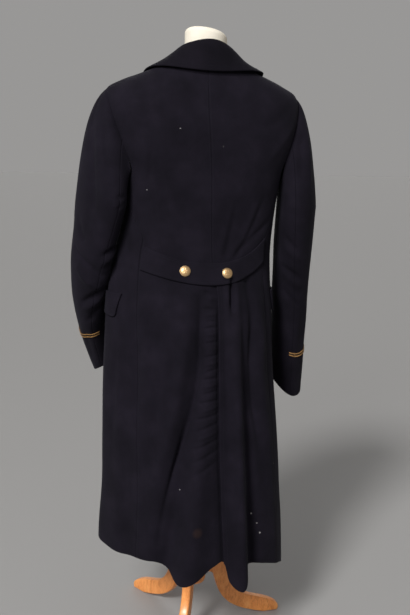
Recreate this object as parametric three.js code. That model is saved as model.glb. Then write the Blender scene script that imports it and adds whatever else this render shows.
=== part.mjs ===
// Wool military greatcoat on a limbless dress form with a three-legged wooden stand.
// Millimetres, +Z up, floor at z = 0. The coat's front faces -Y and its own left side is +X.
import * as THREE from "three";
import { mergeVertices } from "three/addons/utils/BufferGeometryUtils.js";

// Cloth and clearances
const CLOTH = 2.6; // wall of heavy melton wool
const DOUBLED = 4.0; // two layers, as in the half belt and the flaps
const COLLAR_WALL = 3.4;
const GAP = 0.3; // between pieces at a seam, and under what lies on a panel
const LAP = CLOTH + 1.4; // how far an under layer sits inside the one on top

// Heights on the coat
const HEM_LEVEL = 270;
const VENT_TOP = 930;
const VENT_STEP = 28; // height over which the vent's two layers come level, behind the belt
const UNDERARM = 1170;
const SHOULDER = 1337; // where the shoulder seam meets the sleeve head
const NECK = 1452;
const BREAK = 1180; // where the lapels start to turn back
const CROSSING = 1272; // where the two roll lines cross
const LAPEL_TOP = 1376;

// Angles round the body in degrees: 0 at the centre back, 90 at the coat's left side, 180 at the front
const SIDE_SEAM = 48;
const UNDERARM_SEAM = 82;
const ARMHOLE_BACK = 60; // the armhole's deepest place on the back
const ROLL_AT_NECK = 125;
const COLLAR_END = 132;

const FRAME_SHIFT = { x: -4, y: -18 }; // puts the origin under the middle of the whole object

// Sections of the coat round the pole: reach to each side, shape power, and how much higher the
// side is, and lower the front is, than the centre back
const BODY = [
  { t: 120, left: 248, right: 230, back: 234, front: 222, power: 2.1, side: 0, drop: 0 },
  { t: 290, left: 252, right: 223, back: 230, front: 214, power: 2.1, side: 0, drop: 0 },
  { t: 450, left: 244, right: 211, back: 216, front: 205, power: 2.1, side: 0, drop: 0 },
  { t: 580, left: 244, right: 201, back: 200, front: 196, power: 2.1, side: 0, drop: 0 },
  { t: 700, left: 243, right: 190, back: 184, front: 186, power: 2.1, side: 0, drop: 0 },
  { t: 800, left: 239, right: 182, back: 170, front: 176, power: 2.15, side: 0, drop: 0 },
  { t: 880, left: 235, right: 177, back: 156, front: 166, power: 2.2, side: 0, drop: 0 },
  { t: 940, left: 230, right: 173, back: 138, front: 152, power: 2.2, side: 0, drop: 0 },
  { t: 1000, left: 218, right: 171, back: 119, front: 140, power: 2.3, side: 0, drop: 0 },
  { t: 1060, left: 204, right: 174, back: 113, front: 138, power: 2.4, side: 0, drop: 0 },
  { t: 1130, left: 192, right: 181, back: 112, front: 141, power: 2.6, side: 0, drop: 0 },
  { t: 1190, left: 196, right: 192, back: 112, front: 143, power: 2.8, side: 8, drop: 0 },
  { t: 1240, left: 216, right: 212, back: 111, front: 143, power: 3.0, side: 24, drop: 0 },
  { t: 1290, left: 233, right: 227, back: 107, front: 139, power: 3.0, side: 42, drop: 4 },
  { t: 1337, left: 234, right: 224, back: 99, front: 129, power: 2.8, side: 47, drop: 12 },
  { t: 1372, left: 201, right: 190, back: 91, front: 117, power: 2.6, side: 34, drop: 22 },
  { t: 1405, left: 153, right: 147, back: 81, front: 102, power: 2.4, side: 20, drop: 34 },
  { t: 1432, left: 107, right: 106, back: 70, front: 84, power: 2.3, side: 11, drop: 43 },
  { t: 1452, left: 75, right: 74, back: 60, front: 64, power: 2.1, side: 5, drop: 47 },
];

// Height of the hem round the coat, which hangs lower on its right side and in its folds
const HEM = [
  { u: -210, z: 235 },
  { u: -180, z: 228 },
  { u: -150, z: 213 },
  { u: -110, z: 196 },
  { u: -76, z: 190 },
  { u: -62, z: 207 },
  { u: -48, z: 234 },
  { u: -33, z: 257 },
  { u: -22, z: 260 },
  { u: -18, z: 249 },
  { u: -11.5, z: 223 },
  { u: -5.5, z: 242 },
  { u: -3, z: 285 },
  { u: 3, z: 282 },
  { u: 13, z: 254 },
  { u: 23, z: 244 },
  { u: 30, z: 268 },
  { u: 38, z: 285 },
  { u: 62, z: 279 },
  { u: 105, z: 275 },
  { u: 150, z: 252 },
  { u: 210, z: 232 },
];

// Centre back line, which drifts a little to the coat's right towards the hem
const CENTRE_BACK = [
  { t: 190, u: -3.4 },
  { t: 430, u: -1.1 },
  { t: 600, u: -0.4 },
  { t: 900, u: -1.3 },
  { t: 930, u: -1.2 },
  { t: 975, u: 0.6 },
  { t: 1010, u: 1.2 },
  { t: 1250, u: 2.6 },
  { t: 1360, u: 3.6 },
  { t: 1452, u: 6 },
];

// Folds of the body: angle and half width at the top and at the bottom, and how far each stands
// out of the plain section at its foot; negative ones are valleys
const FOLDS = [
  { topU: 7, footU: 33, topZ: 940, footZ: 190, topWide: 4, footWide: 7.5, out: -24 },
  { topU: 3, footU: 19, topZ: 900, footZ: 190, topWide: 4, footWide: 9, out: 27 },
  { topU: -13, footU: -12.5, topZ: 900, footZ: 190, topWide: 4, footWide: 6, out: 34 },
  { topU: -21, footU: -24, topZ: 940, footZ: 190, topWide: 3.5, footWide: 6, out: -20 },
  { topU: -40, footU: -42, topZ: 960, footZ: 190, topWide: 6, footWide: 8, out: 10 },
  { topU: 56, footU: 54, topZ: 900, footZ: 190, topWide: 6, footWide: 8, out: -9 },
  { topU: 82, footU: 86, topZ: 860, footZ: 190, topWide: 8, footWide: 10, out: 9 },
  { topU: 118, footU: 124, topZ: 900, footZ: 190, topWide: 6, footWide: 10, out: -16 },
  { topU: 140, footU: 148, topZ: 860, footZ: 190, topWide: 6, footWide: 9, out: 12 },
  { topU: -72, footU: -76, topZ: 900, footZ: 190, topWide: 7, footWide: 9, out: -8 },
  { topU: -110, footU: -118, topZ: 900, footZ: 190, topWide: 6, footWide: 10, out: -15 },
  { topU: -134, footU: -140, topZ: 860, footZ: 190, topWide: 6, footWide: 9, out: 11 },
];

// Sleeve sections below the armhole: centre, half length from front to back, half width,
// and the turn of the section about the arm, in degrees
const LEFT_SLEEVE = [
  { x: 250, y: 3, z: 1122, long: 90, short: 47, turn: 19 },
  { x: 260, y: -2, z: 1064, long: 79, short: 44, turn: 16 },
  { x: 272, y: -16, z: 985, long: 68, short: 42, turn: 10 },
  { x: 276, y: -52, z: 903, long: 60, short: 34, turn: 2 },
  { x: 259, y: -98, z: 822, long: 55, short: 34, turn: -6 },
  { x: 232, y: -142, z: 748, long: 53, short: 36, turn: -12 },
  { x: 212, y: -172, z: 703, long: 54, short: 38, turn: -16 },
];
const RIGHT_SLEEVE = [
  { x: -244, y: 2, z: 1118, long: 89, short: 47, turn: 19 },
  { x: -242, y: -4, z: 1020, long: 74, short: 46, turn: 14 },
  { x: -243, y: -14, z: 930, long: 64, short: 43, turn: 8 },
  { x: -247, y: -26, z: 824, long: 58, short: 41, turn: 4 },
  { x: -251, y: -40, z: 739, long: 55, short: 40, turn: 2 },
  { x: -254, y: -56, z: 645, long: 54, short: 40, turn: 0 },
];
const ARMHOLE_CLEAR = 1.5; // how far the sleeve's seam lies outside the body
const UNDERARM_EASE = 2.7; // and how much further underarm
// How much lower each cuff hangs at two of its sides than in its middle, and how far up its braid is
const LEFT_CUFF = { behind: -28, outside: 20, braid: 140 };
const RIGHT_CUFF = { behind: 20, outside: 18, braid: 108 };
const TOP_SLEEVE = { from: -82, to: 94 }; // degrees round the arm, 0 outside and 90 at the back
const BRAID = { in: 2, wide: 3.4, thick: 1.2, apart: 7.6 };

// Collar, by the angle round the neck: height of the roll, its lean outwards, how far the fall
// bulges, and the body level and the clearance where the fall's edge lies
const COLLAR = [
  { u: -132, rollZ: 1442, lean: 3, full: 1, edgeT: 1387, lift: 1 },
  { u: -105, rollZ: 1461, lean: -3, full: -1, edgeT: 1402, lift: 3 },
  { u: -75, rollZ: 1471, lean: -8, full: -3, edgeT: 1412, lift: 5 },
  { u: -40, rollZ: 1487, lean: -2, full: 0, edgeT: 1421, lift: 8 },
  { u: 0, rollZ: 1500, lean: 6, full: 3, edgeT: 1424, lift: 7 },
  { u: 40, rollZ: 1492, lean: 4, full: 3, edgeT: 1422, lift: 8 },
  { u: 75, rollZ: 1476, lean: 0, full: 0, edgeT: 1418, lift: 4 },
  { u: 105, rollZ: 1462, lean: 2, full: 0, edgeT: 1410, lift: 2 },
  { u: 132, rollZ: 1443, lean: 6, full: 0, edgeT: 1396, lift: 1 },
];

// Lapel width in degrees beside the roll line
const LAPEL = [
  { t: 1184, wide: 3 },
  { t: 1240, wide: 21 },
  { t: 1310, wide: 36 },
  { t: 1360, wide: 45 },
  { t: 1376, wide: 46 },
];

// Half belt at the back, by angle: middle height and half height
const BELT = [
  { u: -47, z: 1018, half: 28 },
  { u: -30, z: 988, half: 25 },
  { u: -14, z: 971, half: 25 },
  { u: 5, z: 967, half: 25 },
  { u: 22, z: 976, half: 25 },
  { u: 47, z: 1003, half: 28 },
];
const BUTTON = { radius: 12.5, dome: 4.6, rim: 1.6 };
const BELT_BUTTONS = [
  { name: "belt_button_left", u: 18, z: 974 },
  { name: "belt_button_right", u: -9.5, z: 968 },
];
const FRONT_BUTTON_HEIGHTS = [1150, 1056, 962, 868];
const FRONT_BUTTON_REACH = 60; // from the centre front to each row
const FLAP = { before: 3.2, firstColumn: 2, lastColumn: 8, top: 917, deep: 58, middle: 0.19, corner: 15 };

// Dress form inside the coat, and its neck
const FORM = [
  { t: 770, half: 140, back: 104, front: 116, power: 2.1 },
  { t: 860, half: 146, back: 110, front: 122, power: 2.2 },
  { t: 940, half: 140, back: 100, front: 114, power: 2.2 },
  { t: 1020, half: 136, back: 92, front: 110, power: 2.2 },
  { t: 1100, half: 150, back: 96, front: 118, power: 2.4 },
  { t: 1180, half: 168, back: 100, front: 124, power: 2.6 },
  { t: 1260, half: 188, back: 98, front: 122, power: 2.8 },
];
const FORM_SEAT = 1337; // from here up the cloth lies on the form
const FORM_CLEAR = 1.6;
const NECK_CLEAR = 3; // further clearance round the neck
const FORM_NECK = { radius: 50, rise: 1482, top: 1523, round: 13, slantX: 0.16, slantY: 0.1 };

// Stand
const POLE_RADIUS = 14;
const HUB = [
  { z: 112, r: 14 },
  { z: 118, r: 24 },
  { z: 130, r: 28 },
  { z: 196, r: 28 },
  { z: 212, r: 22 },
  { z: 220, r: 22 },
];
const LEG_TURNS = [61, 181, 301]; // degrees from +X
const LEG_THICK = 23;
const LEG_BEVEL = 4;

// Grid sizes. The fronts have the same columns past the centre front, where they overlap.
const SKIRT_ROWS = 11;
const BACK_COLUMNS = 12;
const FRONT_COLUMNS = 15;
const OVERLAP_COLUMNS = 3;
const SLEEVE_COLUMNS = 9;
const FRONT_EDGE = 180 + ((180 - SIDE_SEAM) * OVERLAP_COLUMNS) / FRONT_COLUMNS;

const smooth = THREE.MathUtils.smoothstep;
const mix = THREE.MathUtils.lerp;
const radians = THREE.MathUtils.degToRad;

// Smooth value of one named column of a table at a place along its key column
function read(table, key, at, column) {
  const last = table.length - 1;
  let i = 0;
  while (i < last - 1 && at > table[i + 1][key]) i++;
  const [k0, k1] = [table[i][key], table[i + 1][key]];
  const s = THREE.MathUtils.clamp((at - k0) / (k1 - k0), 0, 1);
  const slope = (j) => {
    const a = table[Math.max(j - 1, 0)];
    const b = table[Math.min(j + 1, last)];
    return (b[column] - a[column]) / (b[key] - a[key]);
  };
  const [v0, v1] = [table[i][column], table[i + 1][column]];
  const [m0, m1] = [slope(i) * (k1 - k0), slope(i + 1) * (k1 - k0)];
  const bend = v0 * (2 * s ** 3 - 3 * s ** 2 + 1) + m0 * (s ** 3 - 2 * s ** 2 + s);
  return bend + v1 * (3 * s ** 2 - 2 * s ** 3) + m1 * (s ** 3 - s ** 2);
}

const centreBack = (t) => read(CENTRE_BACK, "t", t, "u");

// Height of the coat at an angle for a level t, which counts up the centre back
function heightAt(u, t, row) {
  if (t < VENT_TOP) {
    const hem = read(HEM, "u", u, "z");
    return mix(hem, VENT_TOP, (t - HEM_LEVEL) / (VENT_TOP - HEM_LEVEL));
  }
  const side = Math.sin(radians(u)) ** 2;
  const front = Math.cos(radians(u)) < 0 ? Math.cos(radians(u)) ** 2 : 0;
  return t + row("side") * side - row("drop") * front;
}

// How far the folds push the cloth out at an angle and height
function foldsAt(u, z) {
  let out = 0;
  for (const fold of FOLDS) {
    const s = THREE.MathUtils.clamp((fold.topZ - z) / (fold.topZ - fold.footZ), 0, 1);
    const away = (u - mix(fold.topU, fold.footU, s)) / mix(fold.topWide, fold.footWide, s);
    out += fold.out * s ** 0.8 * Math.exp(-away * away);
  }
  return out;
}

// A point of the coat's outer face, before laps
function bodyPoint(u, t) {
  const level = t < VENT_TOP ? heightAt(u, t) : t;
  const row = (column) => read(BODY, "t", level, column);
  const z = t < VENT_TOP ? level : heightAt(u, t, row);
  const [s, c] = [Math.sin(radians(u)), Math.cos(radians(u))];
  const power = row("power");
  const k = (Math.abs(s) ** power + Math.abs(c) ** power) ** (-1 / power);
  const across = s > 0 ? row("left") : row("right");
  const deep = c > 0 ? row("back") : row("front");
  const outward = new THREE.Vector2(s / across, c / deep).normalize();
  const out = foldsAt(u, z);
  return new THREE.Vector3(k * across * s + outward.x * out, k * deep * c + outward.y * out, z);
}

// Outward unit normal of a surface given by two numbers
function normalOf(surface, a, b, stepA, stepB) {
  const alongA = surface(a + stepA, b).sub(surface(a - stepA, b));
  const alongB = surface(a, b + stepB).sub(surface(a, b - stepB));
  return alongB.cross(alongA).normalize();
}
const bodyNormal = (u, t) => normalOf(bodyPoint, u, t, 0.5, 2);

// A body point moved out along the normal
function bodyOut(u, t, out) {
  return bodyPoint(u, t).addScaledVector(bodyNormal(u, t), out);
}

// Level t whose surface has a given height at an angle
function levelAt(u, z) {
  let [low, high] = [HEM_LEVEL - 100, NECK];
  for (let i = 0; i < 30; i++) {
    const middle = (low + high) / 2;
    if (bodyPoint(u, middle).z < z) low = middle;
    else high = middle;
  }
  return low;
}

const group = new THREE.Group();
group.position.set(FRAME_SHIFT.x, FRAME_SHIFT.y, 0);

const MATERIALS = {
  wool: new THREE.MeshStandardMaterial({ color: 0x1c1c28, roughness: 0.95, metalness: 0 }),
  gilt: new THREE.MeshStandardMaterial({ color: 0xc79a5a, roughness: 0.4, metalness: 1 }),
  braid: new THREE.MeshStandardMaterial({ color: 0x96702f, roughness: 0.6, metalness: 0.3 }),
  cover: new THREE.MeshStandardMaterial({ color: 0xf6eedc, roughness: 0.9, metalness: 0 }),
  beech: new THREE.MeshStandardMaterial({ color: 0xd08848, roughness: 0.45, metalness: 0 }),
};

function addPiece(name, geometry, material) {
  const mesh = new THREE.Mesh(geometry, MATERIALS[material]);
  mesh.name = name;
  group.add(mesh);
  return mesh;
}

// Turns points and triangles into a geometry whose faces point out
function geometryFrom(points, triangles) {
  let volume = 0;
  for (const [a, b, c] of triangles) {
    volume += points[a].dot(new THREE.Vector3().crossVectors(points[b], points[c]));
  }
  const order = volume < 0 ? triangles.map(([a, b, c]) => [a, c, b]) : triangles;
  const geometry = new THREE.BufferGeometry();
  const flat = points.flatMap((p) => [p.x, p.y, p.z]);
  geometry.setAttribute("position", new THREE.Float32BufferAttribute(flat, 3));
  geometry.setIndex(order.flat());
  geometry.computeVertexNormals();
  return geometry;
}

// A closed wall between an outer and an inner grid of points, both [row][column]
function wallBetween(outer, inner) {
  const rows = outer.length;
  const columns = outer[0].length;
  const points = [...outer.flat(), ...inner.flat()];
  const at = (side, j, i) => side * rows * columns + j * columns + i;
  const triangles = [];
  const quad = (a, b, c, d) => triangles.push([a, b, c], [a, c, d]);
  for (let j = 0; j < rows - 1; j++) {
    for (let i = 0; i < columns - 1; i++) {
      quad(at(0, j, i), at(0, j, i + 1), at(0, j + 1, i + 1), at(0, j + 1, i));
      quad(at(1, j, i), at(1, j + 1, i), at(1, j + 1, i + 1), at(1, j, i + 1));
    }
    quad(at(0, j, 0), at(0, j + 1, 0), at(1, j + 1, 0), at(1, j, 0));
    const end = columns - 1;
    quad(at(0, j, end), at(1, j, end), at(1, j + 1, end), at(0, j + 1, end));
  }
  for (let i = 0; i < columns - 1; i++) {
    const top = rows - 1;
    quad(at(0, 0, i), at(1, 0, i), at(1, 0, i + 1), at(0, 0, i + 1));
    quad(at(0, top, i), at(0, top, i + 1), at(1, top, i + 1), at(1, top, i));
  }
  return geometryFrom(points, triangles);
}

const range = (count) => Array.from({ length: count + 1 }, (_, i) => i / count);

// Rings of points closed at both ends, as one solid
function solidFromRings(rings) {
  const around = rings[0].length;
  const points = rings.flat();
  const triangles = [];
  for (let j = 0; j < rings.length - 1; j++) {
    for (let i = 0; i < around; i++) {
      const next = (i + 1) % around;
      const [a, b] = [j * around + i, j * around + next];
      triangles.push([a, b, b + around], [a, b + around, a + around]);
    }
  }
  for (const [ring, flip] of [[0, true], [rings.length - 1, false]]) {
    const middle = new THREE.Vector3();
    rings[ring].forEach((p) => middle.addScaledVector(p, 1 / around));
    points.push(middle);
    const centre = points.length - 1;
    for (let i = 0; i < around; i++) {
      const [a, b] = [ring * around + i, ring * around + ((i + 1) % around)];
      triangles.push(flip ? [centre, b, a] : [centre, a, b]);
    }
  }
  return geometryFrom(points, triangles);
}

// Back and fronts

// Armhole edges: how far down the armhole a level lies, from 0 at the shoulder to 1 underarm
const downArmhole = (t) => THREE.MathUtils.clamp((SHOULDER - t) / (SHOULDER - UNDERARM), 0, 1);
const arc = (s) => Math.sqrt(Math.max(0, 1 - (1 - s) ** 2));

function backEdge(t) {
  const s = downArmhole(t);
  if (s < 0.78) return mix(90, ARMHOLE_BACK, arc(s / 0.78));
  return mix(UNDERARM_SEAM, ARMHOLE_BACK, arc((1 - s) / 0.22));
}

function frontEdge(t) {
  const s = downArmhole(t);
  if (s < 0.65) return mix(90, 126, arc(s / 0.65));
  return mix(UNDERARM_SEAM, 126, arc((1 - s) / 0.35));
}

// Side seam below the armhole, which swings forward as it climbs
const sideSeam = (t) => mix(SIDE_SEAM, UNDERARM_SEAM, smooth(t, 1040, UNDERARM));
const backLimit = (t) => (t < UNDERARM ? sideSeam(t) : backEdge(t));
const frontStart = (t) => (t < UNDERARM ? sideSeam(t) : frontEdge(t));

// Front edge: straight to the break, then the roll line up to the neck
function frontLimit(t) {
  return mix(FRONT_EDGE, ROLL_AT_NECK, Math.max(0, (t - BREAK) / (NECK - BREAK)));
}

const LEVELS = [
  ...range(SKIRT_ROWS).map((s) => mix(HEM_LEVEL, VENT_TOP, s)),
  VENT_TOP + VENT_STEP,
  982,
  1004,
  1030,
  1075,
  1125,
  UNDERARM,
  1180,
  1198,
  1225,
  1262,
  1300,
  1326,
  SHOULDER,
  1372,
  1405,
  1432,
  NECK,
];

// Shift in degrees that keeps a seam gap of a given size
const seamShift = (u, t, gap) => gap / bodyPoint(u + 0.5, t).distanceTo(bodyPoint(u - 0.5, t));

// Angles spread evenly between two edges
const spread = (from, to, count) => range(count).map((s) => mix(from, to, s));

// A panel of the body, with its angles for each level. `inset` gives how far the cloth at an
// angle and level lies inside the outer face.
function bodyPanel(name, anglesAt, inset) {
  const faceAt = (depth) =>
    LEVELS.map((t) => anglesAt(t).map((u) => bodyOut(u, t, -inset(u, t) - depth)));
  addPiece(name, wallBetween(faceAt(0), faceAt(CLOTH)), "wool");
}

// The left back runs on under the right one at the vent, by two of that one's columns, which
// are narrow above the vent
const NARROW = 0.8;

function backs() {
  const half = GAP / 2;
  const rightAngles = (t) => {
    const [side, middle] = [-backLimit(t), centreBack(t)];
    const end = middle - seamShift(middle, t, half);
    return spread(side + seamShift(side, t, half), end, BACK_COLUMNS);
  };
  const leftAngles = (t) => {
    const [middle, side] = [centreBack(t), backLimit(t)];
    const [start, end] = [middle + seamShift(middle, t, half), side - seamShift(side, t, half)];
    const main = (from) => spread(from, end, BACK_COLUMNS);
    if (t > VENT_TOP) return [start, start + NARROW, ...main(start + 2 * NARROW)];
    return [...rightAngles(t).slice(-3, -1), ...main(start)];
  };
  const underVent = (u, t) => {
    const middle = centreBack(t);
    return t > VENT_TOP + VENT_STEP ? 0 : LAP * (1 - smooth(u, middle + 0.5, middle + 5));
  };
  bodyPanel("back_right", rightAngles, () => 0);
  bodyPanel("back_left", leftAngles, underVent);
}

function fronts() {
  const half = GAP / 2;
  const leftAngles = (t) => {
    const [side, limit] = [frontStart(t) + seamShift(frontStart(t), t, half), frontLimit(t)];
    if (limit <= 180) return spread(side, limit, FRONT_COLUMNS + OVERLAP_COLUMNS);
    return [...spread(side, 180, FRONT_COLUMNS), ...spread(180, limit, OVERLAP_COLUMNS).slice(1)];
  };
  const rightAngles = (t) => leftAngles(t).map((u) => -u).reverse();
  const underLeft = (u, t) => LAP * smooth(-u, 132, 150) * (1 - smooth(t, CROSSING, 1300));
  bodyPanel("front_left", leftAngles, () => 0);
  bodyPanel("front_right", rightAngles, underLeft);
}

// Levels between two limits, with the panels' own levels among them
const levelsFrom = (low, high) => [low, ...LEVELS.filter((t) => t > low && t < high), high];

// The same surface with straight steps between the given levels, as the solids have
function stepped(surface, levels) {
  return (a, b) => {
    const above = levels.findIndex((level) => level >= b);
    if (above <= 0) return surface(a, b);
    const [low, high] = [levels[above - 1], levels[above]];
    return surface(a, low).lerp(surface(a, high), (b - low) / (high - low));
  };
}
const panelPoint = stepped(bodyPoint, LEVELS);

// A wall that lies on the body panels, from its angles at each level or row
function wallOnBody(rows, lift, thick) {
  const faceAt = (out) =>
    rows.map((row) =>
      row.map(({ u, t }) => panelPoint(u, t).addScaledVector(bodyNormal(u, t), out)),
    );
  return wallBetween(faceAt(lift + thick), faceAt(lift));
}

function lapels() {
  for (const { name, side, start, lift } of [
    { name: "lapel_left", side: 1, start: BREAK + 6, lift: 2.7 },
    { name: "lapel_right", side: -1, start: CROSSING + 4, lift: 1.9 },
  ]) {
    const rows = levelsFrom(start, LAPEL_TOP).map((t) => {
      const roll = frontLimit(t);
      const outerEdge = roll - read(LAPEL, "t", t, "wide");
      return spread(outerEdge, roll, 9).map((u) => ({ u: side * u, t }));
    });
    addPiece(name, wallOnBody(rows, lift, CLOTH), "wool");
  }
}

// Collar: a stand that rises from the neck seam, rolls over and falls onto the shoulders

function collar() {
  const surface = (a, b) => {
    const u = mix(-COLLAR_END, COLLAR_END, a);
    const row = (column) => read(COLLAR, "u", u, column);
    const seam = bodyPoint(u, NECK);
    const outward = new THREE.Vector3(seam.x, seam.y, 0).normalize();
    const foot = seam.clone().add(new THREE.Vector3(0, 0, 3 * GAP));
    const roll = seam.clone().addScaledVector(outward, row("lean"));
    roll.z = row("rollZ");
    const stand = foot.clone().lerp(roll, 0.55).addScaledVector(outward, -2);
    const edge = bodyOut(u, row("edgeT"), row("lift") + COLLAR_WALL + 2 * GAP);
    const past = roll.clone().lerp(edge, 0.12).add(new THREE.Vector3(0, 0, -2));
    past.addScaledVector(outward, 5);
    const fall = roll.clone().lerp(edge, 0.55).addScaledVector(outward, row("full"));
    const curve = new THREE.CatmullRomCurve3([foot, stand, roll, past, fall, edge]);
    return curve.getPoint(THREE.MathUtils.clamp(b, 0, 1));
  };
  const across = range(22);
  const up = range(9);
  const outer = [];
  const inner = [];
  for (const b of up) {
    const normals = across.map((a) => {
      const low = Math.max(b - 0.02, 0);
      const high = Math.min(b + 0.02, 1);
      const alongA = surface(a + 0.004, b).sub(surface(a - 0.004, b));
      return surface(a, high).sub(surface(a, low)).cross(alongA).normalize();
    });
    const points = across.map((a) => surface(a, b));
    outer.push(points.map((p, i) => p.clone()));
    inner.push(points.map((p, i) => p.clone().addScaledVector(normals[i], COLLAR_WALL)));
  }
  addPiece("collar", wallBetween(outer, inner), "wool");
}

// Sleeves: a head eased onto the armhole, then two pieces down the arm

// Armhole point at an angle round the arm, just outside the body and a little more underarm
function armholePoint(side, round) {
  const down = (1 - Math.cos(radians(round))) / 2;
  const level = mix(SHOULDER + 1.5, UNDERARM - 1.5, down);
  const back = Math.sin(radians(round)) >= 0;
  const u = back ? backEdge(level) : frontEdge(level);
  return bodyOut(side * u, level, ARMHOLE_CLEAR + UNDERARM_EASE * smooth(down, 0.6, 0.95));
}

// Frame of the sleeve at a share of its length below the armhole
function sleeveFrame(table, s) {
  const at = THREE.MathUtils.clamp(s, 0, 1) * (table.length - 1);
  const rows = table.map((row, index) => ({ index, ...row }));
  const value = (column, place) => read(rows, "index", place, column);
  const centreAt = (place) => {
    return new THREE.Vector3(value("x", place), value("y", place), value("z", place));
  };
  const along = centreAt(Math.min(at + 0.2, table.length - 1)).sub(centreAt(Math.max(at - 0.2, 0)));
  along.normalize();
  along.lerp(new THREE.Vector3(0, 0, -1), 1 - smooth(at, 0, 1)).normalize();
  const [long, short, turn] = ["long", "short", "turn"].map((column) => value(column, at));
  return { centre: centreAt(at), along, long, short, turn };
}

function sleevePoint(side, table, cuff, round, s) {
  const { centre, along, long, short, turn } = sleeveFrame(table, Math.max(s, 0));
  const level = new THREE.Vector3(side * Math.cos(radians(turn)), Math.sin(radians(turn)), 0);
  const outside = level.addScaledVector(along, -level.dot(along)).normalize();
  const behind = new THREE.Vector3().crossVectors(along, outside).multiplyScalar(side);
  if (behind.y < 0) behind.negate();
  const [c, d] = [Math.cos(radians(round)), Math.sin(radians(round))];
  const point = centre.clone().addScaledVector(outside, short * c).addScaledVector(behind, long * d);
  const lower = cuff.behind * Math.max(d, 0) ** 2 + cuff.outside * c;
  if (s >= 0) return point.addScaledVector(along, lower * s ** 2);
  const start = armholePoint(side, round);
  const bend = new THREE.Vector3(
    mix(start.x, point.x, 0.76),
    mix(start.y, point.y, 0.6),
    mix(start.z, point.z, 0.12),
  );
  const k = 1 + Math.max(s, -1);
  return start
    .multiplyScalar((1 - k) ** 2)
    .addScaledVector(bend, 2 * k * (1 - k))
    .addScaledVector(point, k * k);
}

// Outward normal of a sleeve
function sleeveNormal(surface, centre, round, s) {
  const low = Math.max(s - 0.02, -1);
  const high = Math.min(s + 0.02, 1);
  const alongS = surface(round, high).sub(surface(round, low));
  const normal = surface(round + 2, s).sub(surface(round - 2, s)).cross(alongS).normalize();
  const outwards = surface(round, s).sub(centre);
  return normal.dot(outwards) < 0 ? normal.negate() : normal;
}

function sleeve(side, word, table, cuff) {
  const surface = (round, s) => sleevePoint(side, table, cuff, round, s);
  const middle = (s) => surface(0, s).add(surface(180, s)).multiplyScalar(0.5);
  const wall = (rounds, levels, outer, inner, face3d = surface) => {
    const face = (out) =>
      levels.map((s) =>
        rounds.map((round) => {
          const normal = sleeveNormal(surface, middle(s), round, s);
          return face3d(round, s).addScaledVector(normal, out);
        }),
      );
    return wallBetween(face(outer), face(inner));
  };
  const head = [-1, -0.85, -0.65, -0.42, -0.2];
  const places = [...head, ...range(9)];
  const seam = 0.25; // degrees to each side of a seam line, about a third of a millimetre
  const shares = range(SLEEVE_COLUMNS);
  const topRounds = shares.map((k) => mix(TOP_SLEEVE.from + seam, TOP_SLEEVE.to - seam, k));
  const underRounds = shares.map((k) => mix(TOP_SLEEVE.to + seam, TOP_SLEEVE.from + 360 - seam, k));
  addPiece(`sleeve_${word}_top`, wall(topRounds, places, CLOTH, 0), "wool");
  addPiece(`sleeve_${word}_under`, wall(underRounds, places, CLOTH, 0), "wool");
  const length = middle(0).distanceTo(middle(0.5)) + middle(0.5).distanceTo(middle(1));
  const braidRounds = [TOP_SLEEVE.from + BRAID.in, ...topRounds.slice(1, -1), TOP_SLEEVE.to - BRAID.in];
  for (const [index, place] of ["lower", "upper"].entries()) {
    const from = 1 - (cuff.braid + index * BRAID.apart) / length;
    const levels = [from, from - BRAID.wide / length];
    const lift = CLOTH + 2 * GAP;
    const strip = wall(braidRounds, levels, lift + BRAID.thick, lift, stepped(surface, places));
    addPiece(`braid_${word}_${place}`, strip, "braid");
  }
}

// Half belt, flaps and buttons

function halfBelt() {
  const [middle, reach] = [centreBack(VENT_TOP), SIDE_SEAM - 1.2];
  const right = spread(-SIDE_SEAM, middle, BACK_COLUMNS).slice(1);
  const left = spread(middle, SIDE_SEAM, BACK_COLUMNS).slice(1, -1);
  const angles = [-reach, ...right, ...left, reach];
  const rows = range(3).map((b) =>
    angles.map((u) => {
      const [z, half] = [read(BELT, "u", u, "z"), read(BELT, "u", u, "half")];
      return { u, t: mix(z - half, z + half, b) };
    }),
  );
  addPiece("half_belt", wallOnBody(rows, 2.5 * GAP, DOUBLED), "wool");
}

// Flap with rounded lower corners, whose middle columns are those of the front under it
function pocketFlap(side, word) {
  const columns = spread(SIDE_SEAM, 180, FRONT_COLUMNS);
  const [from, to] = [columns[FLAP.firstColumn] - FLAP.before, columns[FLAP.lastColumn]];
  const ends = [0, 0.02, 0.05];
  const inner = columns.slice(FLAP.firstColumn, FLAP.lastColumn);
  const first = ends.map((s) => mix(from, to, s));
  const angles = [...first, ...inner, ...ends.map((s) => mix(to, from, s)).reverse()];
  const rows = [0, FLAP.middle, 1].map((b) =>
    angles.map((u) => {
      const share = (u - from) / (to - from);
      const fromCorner = Math.min(share, 1 - share) / ends.at(-1);
      const rounding = FLAP.corner * (1 - arc(Math.min(fromCorner, 1)));
      const z = mix(FLAP.top - FLAP.deep + rounding, FLAP.top, b);
      return { u: side * u, t: levelAt(side * u, z) };
    }),
  );
  addPiece(`flap_${word}`, wallOnBody(rows, 2.5 * GAP, DOUBLED), "wool");
}

function button(name, seat, normal) {
  const { radius, dome, rim } = BUTTON;
  const profile = [[0, 0], [radius * 0.94, 0], [radius, rim / 2], [radius * 0.94, rim]];
  for (const s of [0.66, 0]) {
    profile.push([radius * s, rim + dome * Math.sqrt(1 - s * s)]);
  }
  const geometry = new THREE.LatheGeometry(profile.map(([r, h]) => new THREE.Vector2(r, h)), 12);
  geometry.deleteAttribute("normal");
  geometry.deleteAttribute("uv");
  const mesh = addPiece(name, mergeVertices(geometry), "gilt");
  mesh.quaternion.setFromUnitVectors(new THREE.Vector3(0, 1, 0), normal);
  mesh.position.copy(seat).addScaledVector(normal, 2.4 * GAP);
}

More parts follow.
